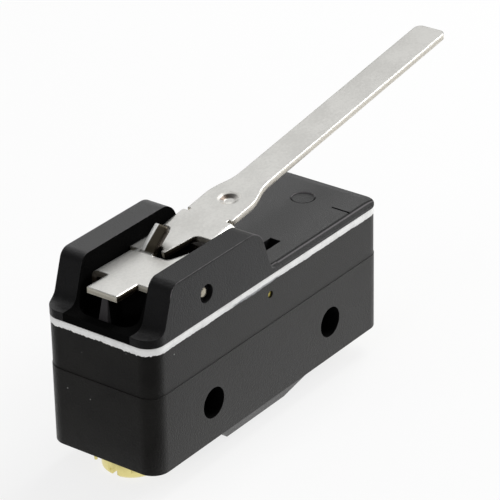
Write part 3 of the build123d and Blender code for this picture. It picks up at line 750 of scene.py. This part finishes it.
@dataclass(frozen=True)
class HubMarks(SheetMarks):
    """The lanced finger, in painted shade with a painted highlight on its rolled far edge, and two places in
    painted shade.

    The finger is what stands above the plate within its band along X. One place in painted shade is the plate
    under the arm, in its shadow, and the other is the cut edge of the far shoulder beside the tail.
    """

    above: Span = (1.15, 1.45)
    finger: Band = (-12.6, -12.3, -7.7, -7.4)
    finger_side: float = 3.3
    roll: float = 0.95
    roll_height: float = 0.25
    covered: Span = (-7.2, -6.6)
    covered_width: Band = (-4.6, -4.2, 3.5, 3.9)
    shoulder: Band = (-19.6, -19.4, -18.7, -18.5)
    shoulder_side: Span = (2.1, 2.3)
    shoulder_share: float = 0.9
    # share of Metallic given up where the highlight is painted
    glow: float = 0.6

    def draw(self, place: SheetPlace, base: Wire, soft: Wire) -> tuple[Wire, Wire, Wire]:
        """Paints shade on the finger but for a stripe at its far side, where the normal is rolled over and a
        highlight is painted.

        Args:
            place: Where a point lies on the sheet.
            base: The base colour so far.
            soft: The normal so far.

        Returns:
            The new base colour, the share that the marks take from Metallic, and the new normal.
        """
        graph, sheet = place.graph, place.sheet
        side = self.finger_side
        raised = graph.steps(place.depth, *self.above) * graph.band(place.x, self.finger)
        bright = raised * graph.band(place.y, (side - self.roll, side - self.roll + 0.15, side - 0.3, side))
        # painted shade on the finger, and a painted highlight on its far stripe
        base = graph.mix(raised - bright, base, graph.mix(place.flank, sheet.shade, sheet.deep_shade))
        base = graph.mix(bright, base, sheet.rim)
        # painted shadow of the arm on the plate under it
        covered = graph.steps(place.x, *self.covered) * graph.band(place.y, self.covered_width)
        base = graph.mix(covered, base, sheet.deep_shade)
        # painted shade on the far shoulder's cut edge
        shoulder = place.cut * graph.steps(place.y, *self.shoulder_side) * graph.band(place.x, self.shoulder)
        base = graph.mix(shoulder * self.shoulder_share, base, sheet.deep_shade)
        rolled = graph.steps(place.y, side, side - self.roll) * raised
        return base, bright * self.glow, graph.bump(rolled, self.roll_height, soft)


@dataclass(frozen=True)
class Dimple(SheetMarks):
    """The arm's round dimple: a painted highlight on its lip and painted shade on its wall at its far side,
    and a painted highlight spot in its bowl.

    The lip and the wall are bands of the distance from its middle, as a share of its radius. Each has the two
    distances past the middle, away from the camera, where it starts and is whole, and the wall has such
    distances to the camera's left, over which its share grows from the first to the second.
    """

    middle: Span = (2.8, 0.0)
    radius: float = 1.5
    lip: Band = (0.80, 0.88, 0.98, 1.06)
    lip_half: Span = (-0.6, 0.1)
    wall: Band = (0.40, 0.52, 0.78, 0.86)
    wall_half: Span = (-0.1, 0.3)
    wall_left: Span = (-0.6, 0.3)
    wall_shares: Span = (0.3, 0.9)
    spot: Span = (-0.52, -0.36)
    spot_fade: Span = (0.58, 0.34)
    # share of Metallic given up where the highlights are painted
    glow: float = 0.7
    # colour of the painted shade on the wall
    wall_shade: Colour = colour(96, 80, 68)

    def draw(self, place: SheetPlace, base: Wire, soft: Wire) -> tuple[Wire, Wire, Wire]:
        """Paints shade on the wall, darker to the left of the camera's view, and then highlights on the lip
        and the spot over it.

        Args:
            place: Where a point lies on the sheet.
            base: The base colour so far.
            soft: The normal so far.

        Returns:
            The new base colour, the share that the marks take from Metallic, and the new normal.
        """
        graph = place.graph
        right = place.x - self.middle[0]
        left = place.y - self.middle[1]
        reach = (right**2 + left**2) ** 0.5 * (1 / self.radius)
        away = right * AWAY[0] + left * AWAY[1]
        aside = left * AWAY[0] - right * AWAY[1]
        top = graph.steps(place.up, 0.2, 0.4)
        lip = graph.band(reach, self.lip) * graph.steps(away, *self.lip_half) * top
        wall = graph.band(reach, self.wall) * graph.steps(away, *self.wall_half) * top
        spot_reach = ((right - self.spot[0]) ** 2 + (left - self.spot[1]) ** 2) ** 0.5
        # painted highlights on the lip and the spot
        bright = lip + graph.steps(spot_reach, *self.spot_fade) * top
        least, most = self.wall_shares
        # painted shade on the wall
        wall_shade = wall * (graph.steps(aside, *self.wall_left) * (most - least) + least)
        base = graph.mix(wall_shade, base, self.wall_shade)
        return graph.mix(bright, base, place.sheet.rim), bright * self.glow, soft


@dataclass(frozen=True)
class Sheet(Finish):
    """Satin steel sheet with sheared edges: a smooth rolled band, a torn band and a bright burr at the foot.

    The sheet's tilt about Y, in degrees, and the height of its underside above the pivot say where a point is
    within its thickness. Painted shade darkens flanks and undersides within the hinge's span along X, between
    the ears, and grows along the fade's span. A painted highlight lies along the rounded edges of its faces.
    """

    marks: SheetMarks
    tilt: float = 0.0
    under: float = 0.8
    thickness: float = 0.8
    pivot: Direction = (-13.6, 0.0, 15.99)
    face: Colour = colour(221, 220, 216)
    dull: Colour = colour(208, 207, 203)
    edge: Colour = colour(226, 222, 208)
    tear: Colour = colour(204, 198, 184)
    # painted shade: a lighter tone and a darker one, for cut flanks, undersides and the finger
    shade: Colour = colour(104, 96, 82)
    deep_shade: Colour = colour(56, 48, 40)
    # painted highlight along the rounded edges of the faces
    rim: Colour = colour(248, 248, 246)
    torn: Band = (0.10, 0.20, 0.50, 0.62)
    hinge: Span = (0.0, -1.5)
    tail: Span = (-17.0, -18.0)
    # painted shade that grows along X over the span below
    fade: float = 0.0
    fade_span: Span = (0.0, 48.0)
    mottle: float = 0.4
    cloud: float = 5.0
    fibre: float = 0.18
    relief: float = 0.02
    roughness: float = 0.33
    rounding: float = 0.5
    satin: float = 0.2
    end_satin: float = 0.5
    cut_shine: float = 0.1

    def place(self, graph: Graph, facing: Wire) -> SheetPlace:
        """Where a point lies on the sheet, from its coordinates and the way it faces.

        Args:
            graph: The finish's graph.
            facing: The surface's normal.

        Returns:
            The point's place.
        """
        across = (-math.sin(math.radians(self.tilt)), 0.0, math.cos(math.radians(self.tilt)))
        foot = float(np.dot(across, self.pivot)) + self.under
        x, y, _ = graph.axes
        up = graph.dot(facing, across)
        return SheetPlace(
            sheet=self,
            graph=graph,
            x=x,
            y=y,
            depth=(graph.dot(graph.at, across) - foot) * (1 / self.thickness),
            up=up,
            cut=1 - graph.steps(abs(up), 0.35, 0.75),
            flank=graph.steps(abs(graph.dot(facing, (0, 1, 0))), 0.3, 0.7),
        )

    def nodes(self, graph: Graph) -> None:
        """Cut edges are where the surface's normal is square to the sheet's, and the satin is fine mottling.

        Args:
            graph: The finish's graph.
        """
        facing = graph.add("ShaderNodeTexCoord", output="Normal")
        place = self.place(graph, facing)
        mottle = graph.noise(self.mottle, 4.0, 0.7)
        clouds = graph.noise(self.cloud, 3.0, 0.5)
        fibres = graph.noise(self.fibre, 2.0, 0.6)
        tear = graph.band(place.depth + (fibres - 0.5) * 0.25, self.torn) * place.cut
        hinge = graph.steps(place.x, *self.hinge)
        # painted shade on cut faces that look along Y within the hinge's span
        shaded = hinge * place.flank
        soft = graph.soft_edges(self.rounding)
        # painted highlight along the rounded edges of the faces
        rim = graph.near_edge(soft) * (1 - place.cut)
        base = graph.mix(graph.steps(mottle * 0.5 + clouds * 0.5, 0.36, 0.62), self.dull, self.face)
        base = graph.mix(place.cut, base, graph.mix(shaded, self.edge, self.shade))
        base = graph.mix(tear, base, graph.mix(shaded, self.tear, self.deep_shade))
        base = graph.mix(rim, base, self.rim)
        # painted shade, darker towards the far end of the fade's span
        base = graph.mix(graph.steps(place.x, *self.fade_span) * self.fade, base, self.deep_shade)
        # painted shade on undersides within the hinge's span
        base = graph.mix(graph.steps(place.depth, -0.15, -0.5) * hinge, base, self.deep_shade)
        base, glow, soft = self.marks.draw(place, base, soft)
        end = abs(graph.dot(facing, (1, 0, 0))) * graph.steps(place.x, *self.tail)
        sockets = {
            "Base Color": base,
            "Metallic": 1 - self.satin - place.cut * (end * self.end_satin - self.cut_shine) - glow,
            "Roughness": self.roughness + (mottle - 0.5) * 0.16 + place.cut * 0.08 + tear * 0.15 - rim * 0.1,
            "Normal": graph.bump(mottle * 0.2 + fibres * tear, self.relief, soft),
        }
        graph.surface(sockets)


@dataclass(frozen=True)
class Metal(Finish):
    """Plain turned or pressed metal, with a fine mottle and a little tarnish."""

    bright: Colour = colour(220, 216, 204)
    tarnish: Colour = colour(170, 160, 140)
    roughness: float = 0.28
    mottle: float = 0.5
    cloud: float = 3.0
    relief: float = 0.006
    rounding: float = 0.12
    satin: float = 0.0

    def nodes(self, graph: Graph) -> None:
        """Tarnish follows a broad noise, and the fine noise varies the gloss and gives a shallow relief.

        Args:
            graph: The finish's graph.
        """
        fine = graph.noise(self.mottle, 3.0, 0.6)
        broad = graph.noise(self.cloud, 3.0, 0.6)
        sockets = {
            "Base Color": graph.mix(graph.steps(broad, 0.4, 0.75), self.bright, self.tarnish),
            "Metallic": 1 - self.satin,
            "Roughness": self.roughness + (fine - 0.5) * 0.2,
            "Normal": graph.bump(fine, self.relief, graph.soft_edges(self.rounding)),
        }
        graph.surface(sockets)


class Finishes:
    """The finishes of the switch."""

    case = CaseMoulding("matt_black_case")
    bracket = BracketMoulding(
        "satin_black_bracket",
        dark=colour(24, 24, 25),
        light=colour(30, 30, 31),
        roughness=0.38,
        ior=1.45,
        top=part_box("lever_bracket")[1].z / MM,
    )
    seal = Compound("white_compound")
    hub = Sheet("hub_satin_sheet", HubMarks(), tilt=-1.25, under=0.80)
    arm = Sheet(
        "arm_satin_sheet",
        Dimple(),
        tilt=8.33,
        under=0.68,
        face=colour(214, 213, 209),
        dull=colour(200, 199, 195),
        edge=colour(246, 242, 232),
        tear=colour(242, 237, 226),
        # rim is the painted highlight's colour; fade is painted shade towards the tip
        rim=colour(234, 232, 226),
        rounding=0.32,
        fade=0.11,
    )
    pivot_pin = Metal("ground_pin", bright=colour(200, 194, 178), tarnish=colour(140, 132, 114), rounding=0.4)
    cover_pin = Metal(
        "gold_pin", bright=colour(240, 224, 120), tarnish=colour(214, 190, 84), roughness=0.5, satin=0.7
    )
    brass = Metal("bright_brass", bright=colour(232, 220, 150), tarnish=colour(206, 190, 116), roughness=0.3)
    spring = Metal("spring_copper", bright=colour(206, 150, 104), tarnish=colour(160, 104, 66))
    silver = Metal("rivet_silver", bright=colour(232, 232, 230), tarnish=colour(196, 194, 190))
    plunger = Moulding("smooth_plunger", dark=colour(30, 24, 22), light=colour(38, 30, 27), roughness=0.25)


@dataclass
class SubAssembly:
    """A group of pieces that is dressed together."""

    made: list[str] = field(default_factory=list, kw_only=True)

    def note(self, name: str) -> None:
        """Remembers a finished piece and reports it."""
        self.made.append(name)
        log.info("%s: %s", type(self).__name__, name)

    def dress_node(self, node: str, finish: Finish) -> None:
        """Gives a CAD node that stays in sight its finish."""
        finish.dress(frame["nodes"][node])
        self.note(node)

    def stand_in(self, node: str, name: str, finish: Finish, slot: Slot) -> bpy.types.Object:
        """Makes a piece that stands for a CAD node: the node's mesh, welded, with flat faces made one.

        Args:
            node: The CAD node.
            name: The piece's name.
            finish: The piece's finish.
            slot: The record's slot of that finish; not used.

        Returns:
            The piece, which doesn't ride on a body yet.
        """
        mesh = bpy.data.meshes.new(name)
        with edited(mesh, frame["nodes"][node].data) as work:
            bmesh.ops.remove_doubles(work, verts=work.verts, dist=WELD * MM)
            bmesh.ops.dissolve_limit(
                work, angle_limit=math.radians(FLAT), verts=work.verts, edges=work.edges
            )
        mesh.shade_smooth()
        mesh.set_sharp_from_angle(angle=math.radians(SHARP))
        piece = placed(name, mesh)
        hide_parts(node)
        finish.dress(piece)
        self.note(name)
        return piece

    def rounded(self, node: str, finish: Finish, slot: Slot, radius: float) -> None:
        """Makes such a piece on its node's body and rounds its sharp edges.

        Args:
            node: The CAD node.
            finish: The piece's finish.
            slot: The record's slot of that finish.
            radius: Radius of the rounding, in millimetres.
        """
        piece = self.stand_in(node, f"{node}_piece", finish, slot)
        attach(piece, frame["nodes"][node]["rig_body"])
        edges = piece.modifiers.new("rounded_edges", "BEVEL")
        edges.width = radius * MM
        edges.segments = 3
        edges.limit_method = "ANGLE"
        edges.angle_limit = math.radians(SHARP)
        edges.use_clamp_overlap = False
        edges.harden_normals = True
        edges.loop_slide = False
        edges.miter_outer = "MITER_ARC"


@dataclass
class MouldedCase(SubAssembly):
    """The base, the cover and the lever bracket, with the two cross pins that show in their sides."""

    def build(self) -> None:
        """Dresses the mouldings and the pins."""
        self.dress_node("case_base", Finishes.case)
        self.dress_node("case_cover", Finishes.case)
        self.dress_node("lever_bracket", Finishes.bracket)
        self.dress_node("pivot_pin", Finishes.pivot_pin)
        self.dress_node("cover_pin", Finishes.cover_pin)


def closed_grid(name: str, grid: np.ndarray) -> bpy.types.Object:
    """Mesh of a grid that closes on itself both ways, such as a ring with a closed cross-section.

    Vertex (i, j) is joined to (i + 1, j) and (i, j + 1), with both indices counted round.

    Args:
        name: The new object's name.
        grid: Points in metres, shape (round, across, 3).

    Returns:
        The object, linked to the scene, with its faces outwards.
    """
    rows, columns = grid.shape[:2]
    i, j = np.meshgrid(np.arange(rows), np.arange(columns), indexing="ij")
    corners = [(i + a) % rows * columns + (j + b) % columns for a, b in ((0, 0), (1, 0), (1, 1), (0, 1))]
    faces = np.stack(corners, axis=-1).reshape(-1, 4)
    mesh = bpy.data.meshes.new(name)
    mesh.from_pydata(grid.reshape(-1, 3), [], faces.tolist())
    mesh.update()
    with edited(mesh) as work:
        bmesh.ops.recalc_face_normals(work, faces=work.faces)
    mesh.shade_smooth()
    return placed(name, mesh)


@dataclass
class SealRing(SubAssembly):
    """The sealing compound that oozes a little from the joint between the cover and the bracket.

    Its cross-section has seven points: two on top, a shoulder, a slight bulge, a foot, the hanging edge and
    the inner foot. Wear is how chipped the compound is at each of them, and it is greater on the pivot end.
    """

    corner: float = 2.4
    wall: float = 1.2
    top_step: float = 0.12
    foot_step: float = 0.06
    inset: float = 0.03
    bulge: float = 0.02
    clear: float = 0.02
    shoulder: float = 0.10
    foot: float = 0.05
    steps: int = 1500
    coarse_waves: tuple[int, ...] = (3, 7, 11, 19, 31)
    fine_waves: tuple[int, ...] = (47, 83, 131, 197, 271, 331)
    seeds: tuple[int, int] = (11, 12)
    rise: float = 0.03
    skirt: float = 0.04
    skirt_spread: float = 0.045
    end_ripple: float = 1.6
    side_ripple: float = 0.9
    hang: Span = (-0.12, 0.6)
    smear_middle: float = -3.0
    smear_length: float = 2.8
    smear_drop: float = 0.03
    wear: tuple[float, ...] = (0.0, 0.5, 0.75, 0.0, 0.8, 1.0, 0.0)
    side_wear: float = 0.55

    def outline(self, half_x: float, half_y: float) -> tuple[np.ndarray, np.ndarray]:
        """Rounded rectangle and its outward normals, evenly stepped round the ring.

        A step lies on a straight side or on a quarter turn. On a turn, its point is the corner's centre plus
        the radius along the normal, whose angle grows with the distance into the turn. On a side, the point
        moves on from the turn's end, square to the normal, by the distance into the side.

        Args:
            half_x: Half its length along X.
            half_y: Half its width along Y.

        Returns:
            Points and unit normals, as arrays of shape (steps, 2).
        """
        corner = self.corner
        side_x, side_y = 2 * (half_x - corner), 2 * (half_y - corner)
        turn = math.pi * corner / 2
        ends = np.cumsum([0, side_x, turn, side_y, turn, side_x, turn, side_y, turn])
        along = np.linspace(0, ends[-1], self.steps, endpoint=False)
        part = np.searchsorted(ends, along, side="right") - 1
        on_turn = part % 2 == 1
        into = along - ends[part]
        turned = np.where(on_turn, into / corner, 0.0)
        angle = math.pi / 2 * ((part + 1) // 2 - on_turn) - math.pi / 2 + turned
        normal = np.column_stack([np.cos(angle), np.sin(angle)])
        centre_x = (half_x - corner) * np.array([-1, 1, 1, 1, 1, -1, -1, -1])[part]
        centre_y = (half_y - corner) * np.array([-1, -1, -1, 1, 1, 1, 1, -1])[part]
        onward = np.column_stack([-normal[:, 1], normal[:, 0]])
        straight = np.where(on_turn, 0.0, into)[:, None] * onward
        return np.column_stack([centre_x, centre_y]) + corner * normal + straight, normal

    def ripple(self, waves: tuple[int, ...], seed: int) -> np.ndarray:
        """Random wavy line round the ring: a sum of sines with whole numbers of waves.

        Args:
            waves: Number of waves round the ring, for each sine.
            seed: Seed of the sines' phases and sizes.

        Returns:
            Heights from about -1 to 1, one for each step.
        """
        random = np.random.default_rng(seed)
        turn = np.linspace(0, 2 * math.pi, self.steps, endpoint=False)
        phases = random.uniform(0, 2 * math.pi, len(waves))
        sizes = random.uniform(0.5, 1.0, len(waves))
        lines = np.sin(np.outer(turn, waves) + phases) * sizes
        return lines.sum(1) / sizes.sum() * 2

    def build(self) -> None:
        """Carries the cross-section round the outline.

        The hanging edge drops by the skirt, plus ripples, plus a bell curve along X in the near side's smear.
        """
        low, high = (np.array(v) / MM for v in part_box("seal_band"))
        centre = (low + high)[:2] / 2
        half = (high - low)[:2] / 2
        path, normal = self.outline(half[0], half[1])
        coarse = self.ripple(self.coarse_waves, self.seeds[0])
        fine = self.ripple(self.fine_waves, self.seeds[1])
        end = normal[:, 0] < -0.5
        bell = np.exp(-(((path[:, 0] - self.smear_middle) / self.smear_length) ** 2))
        smear = (normal[:, 1] < -0.9) * bell
        ripples = coarse + fine * np.where(end, self.end_ripple, self.side_ripple)
        drop = self.skirt + self.skirt_spread * ripples + smear * self.smear_drop
        drop = np.clip(drop, *self.hang)
        top = high[2] - self.clear
        bottom = low[2]
        level = np.zeros(self.steps)
        heights = np.column_stack(
            [
                level + top,
                level + top,
                top - self.shoulder + self.rise * fine,
                level + (top + bottom) / 2,
                bottom + self.foot - drop,
                bottom - self.clear - drop,
                level + bottom + self.clear,
            ]
        )
        wall, face = self.wall, self.inset
        inward = np.array([wall, self.top_step, face, face - self.bulge, face, self.foot_step, wall])
        rim = path[:, None, :] - normal[:, None, :] * inward[None, :, None] + centre
        grid = np.concatenate([rim, heights[:, :, None]], axis=2)
        wear = np.outer(np.where(end, 1.0, self.side_wear), self.wear)
        piece = closed_grid("seal_ring", grid * MM)
        attribute = piece.data.attributes.new("wear", "FLOAT", "POINT")
        attribute.data.foreach_set("value", wear.astype(np.float32).ravel())
        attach(piece, Body.HOUSING.value)
        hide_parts("seal_band")
        Finishes.seal.dress(piece)
        self.note(piece.name)


@dataclass
class HingeLever(SubAssembly):
    """The folded hub and the long arm that hooks into it."""

    def build(self) -> None:
        """Dresses the two sheets."""
        self.dress_node("lever_hub", Finishes.hub)
        self.dress_node("lever_arm", Finishes.arm)


@dataclass
class Terminals(SubAssembly):
    """The three brass terminals with their screws and cup washers."""

    edge: float = 0.1

    def build(self) -> None:
        """Dresses the strips, and rounds the screws and washers."""
        for place in ("common", "open", "closed"):
            self.dress_node(f"{place}_terminal", Finishes.brass)
            self.rounded(f"{place}_screw", Finishes.brass, Slot.BRASS, self.edge)
            self.rounded(f"{place}_washer", Finishes.brass, Slot.BRASS, self.edge)


@dataclass
class Mechanism(SubAssembly):
    """The plunger, the snap blade with its spring, and the contact rivets.

    Nose is half the length of the spring under the plunger's nose, and slit is half the gap between the
    spring's two halves.
    """

    nose: float = 1.6
    slit: float = 0.01

    def spring(self) -> None:
        """Splits the snap spring under the plunger's nose into its root and its bow.
        """
        low, high = (v.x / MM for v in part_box("snap_spring"))
        middle = sum(v.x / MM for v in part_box("plunger")) / 2
        edge = middle + self.nose
        halves = (("spring_root", -1, low, middle - self.nose), ("spring_bow", 1, 2 * high - edge, edge))
        for name, side, still, carried in halves:
            leaf = self.stand_in("snap_spring", name, Finishes.spring, Slot.SPRING)
            with edited(leaf.data) as work:
                cut = bmesh.ops.bisect_plane(
                    work,
                    geom=[*work.verts, *work.edges, *work.faces],
                    plane_co=((middle + side * self.slit) * MM, 0, 0),
                    plane_no=(side, 0, 0),
                    clear_inner=True,
                )
                rim = [item for item in cut["geom_cut"] if isinstance(item, bmesh.types.BMEdge)]
                bmesh.ops.edgenet_fill(work, edges=rim)
                bmesh.ops.recalc_face_normals(work, faces=work.faces)
            still * MM
            carried * MM
            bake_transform(leaf)

    def build(self) -> None:
        """Dresses the inner pieces."""
        self.dress_node("plunger", Finishes.plunger)
        self.dress_node("snap_blade", Finishes.spring)
        self.spring()
        for node in ("moving_contact", "open_contact", "closed_contact"):
            self.dress_node(node, Finishes.silver)


@dataclass
class SoftLamp:
    """A square area light that faces the switch. Its side and its distance are in metres."""

    name: str
    direction: Direction
    level: float
    side: float = 0.35
    distance: float = 0.75
    glints: bool = False

    def build(self, target: Vector) -> None:
        """Makes the lamp; a white surface that faces it at the target renders at its level.

        Args:
            target: What the lamp faces, in metres.
        """
        data = bpy.data.lights.new(self.name, "AREA")
        data.size = self.side
        data.energy = self.level * math.pi**2 * self.distance**2
        lamp = placed(self.name, data)
        towards = Vector(self.direction).normalized()
        lamp.visible_glossy = self.glints
        lamp.location = target + towards * self.distance
        lamp.rotation_euler = towards.to_track_quat("Z", "Y").to_euler()


@dataclass
class Studio:
    """Floor, lights, world and the camera at the photograph's angle.

    In reflections the floor has three levels: bright to the right of one line, dim on the left behind another
    line, and dark in the corner between them. A line is a way across the floor and the two distances along it
    between which the level changes. The floor's side and the camera's clip range are in metres.
    """

    place: Direction = (-258.589, -200.215, 184.227)
    heading: float = 52.992
    pitch: float = 27.568
    roll: float = -1.160
    lens: float = 206.994
    sensor: float = 36.0
    clip: Span = (0.01, 20.0)
    lamps: tuple[SoftLamp, ...] = (
        SoftLamp("key_lamp", (0.70, -0.45, 0.51), 0.50, glints=True),
        SoftLamp("top_lamp", (0.55, 0.00, 0.83), 0.45, glints=True),
        SoftLamp("end_lamp", (-0.85, 0.10, 0.45), 0.15),
    )
    ambient: float = 0.35
    bright_side: Direction = (0.50, 0.78, 0.38)
    room_levels: Span = (0.03, 1.0)
    room_fade: Span = (0.70, 0.90)
    floor_side: float = 6.0
    floor_paper: Colour = (0.88, 0.88, 0.88, 1.0)
    floor_glow: float = 0.80
    floor_levels: tuple[float, float, float] = (0.90, 0.18, 0.04)
    right_way: Direction = (0.689, 0.725, 0.0)
    right_line: Span = (-28.0, -24.0)
    right_end: Span = (-30.0, -23.0)
    back_way: Direction = (0.4225, 0.9065, 0.0)
    back_line: Span = (-18.5, -14.0)

    def camera(self) -> None:
        """Camera turned by its heading from +Y towards +X, tilted down by its pitch, and rolled."""
        data = bpy.data.cameras.new("photo_camera")
        data.sensor_width = self.sensor
        data.lens = self.lens
        data.clip_start, data.clip_end = self.clip
        camera = placed("photo_camera", data)
        turn = Matrix.Rotation(math.radians(-self.heading), 4, "Z")
        tilt = Matrix.Rotation(math.radians(90 - self.pitch), 4, "X")
        roll = Matrix.Rotation(math.radians(self.roll), 4, "Z")
        camera.matrix_world = Matrix.Translation(Vector(self.place) * MM) @ turn @ tilt @ roll
        bpy.context.scene.camera = camera

    def sheen(self, graph: Graph) -> Wire:
        """The floor's level in reflections.

        Args:
            graph: The floor material's graph.

        Returns:
            The strength of its glow.
        """
        right = graph.steps(graph.dot(graph.at, self.right_way), *self.right_line)
        right = right * graph.steps(graph.axes[0], *self.right_end)
        back = graph.steps(graph.dot(graph.at, self.back_way), *self.back_line)
        bright, dim, dark = self.floor_levels
        return right * (bright - dark) + (1 - right) * back * (dim - dark) + dark

    def floor(self) -> None:
        """Plain pale floor just under the lowest piece: nearly white to the camera, with the shadow on it."""
        level = CAD_BOX[0].z
        half = self.floor_side / 2
        mesh = bpy.data.meshes.new("floor")
        corners = [(-half, -half, level), (half, -half, level), (half, half, level), (-half, half, level)]
        mesh.from_pydata(corners, [], [(0, 1, 2, 3)])
        plane = placed("floor", mesh)
        material = bpy.data.materials.new("floor_paper")
        material.use_nodes = True
        material.cycles.emission_sampling = "NONE"
        graph = Graph(material.node_tree)
        seen, glossy, through = graph.rays()
        shine = graph.add("ShaderNodeEmission", {}, {"Color": WHITE, "Strength": self.sheen(graph)})
        paper = graph.add("ShaderNodeBsdfDiffuse", {}, {"Color": self.floor_paper})
        white = graph.add("ShaderNodeEmission", {}, {"Color": WHITE, "Strength": 1.0})
        glow = (seen + through) * self.floor_glow
        lit = graph.add("ShaderNodeMixShader", {}, {0: glow, 1: paper, 2: white})
        surface = graph.add("ShaderNodeMixShader", {}, {0: glossy, 1: lit, 2: shine})
        graph.add("ShaderNodeOutputMaterial", {}, {"Surface": surface})
        mesh.materials.append(material)

    def world(self) -> None:
        """White to the camera; in reflections it fades from the bright side of the room to a dimmer one."""
        world = bpy.data.worlds.new("room")
        world.use_nodes = True
        world.cycles.sampling_method = "NONE"
        bpy.context.scene.world = world
        graph = Graph(world.node_tree)
        seen, glossy, through = graph.rays()
        towards = graph.add("ShaderNodeTexCoord", output="Generated")
        dim, full = self.room_levels
        reflected = graph.steps(graph.dot(towards, self.bright_side), *self.room_fade) * (full - dim) + dim
        level = seen + through + glossy * reflected + (1 - seen - through - glossy) * self.ambient
        back = graph.add("ShaderNodeBackground", {}, {"Color": WHITE, "Strength": level})
        graph.add("ShaderNodeOutputWorld", {}, {"Surface": back})

    def build(self) -> None:
        """Sets the stage."""
        self.camera()
        self.floor()
        self.world()
        centre = (CAD_BOX[0] + CAD_BOX[1]) / 2
        for lamp in self.lamps:
            lamp.build(centre)
        bpy.context.scene.view_settings.view_transform = "Standard"


def main() -> None:
    """Builds the stage and every sub-assembly, and reports the pieces."""
    logging.basicConfig(level=logging.INFO, format="%(message)s")
    Studio().build()
    for part in (MouldedCase(), SealRing(), HingeLever(), Terminals(), Mechanism()):
        part.build()
        log.info("%s has %d pieces", type(part).__name__, len(part.made))


if __name__ == "__main__":
    main()
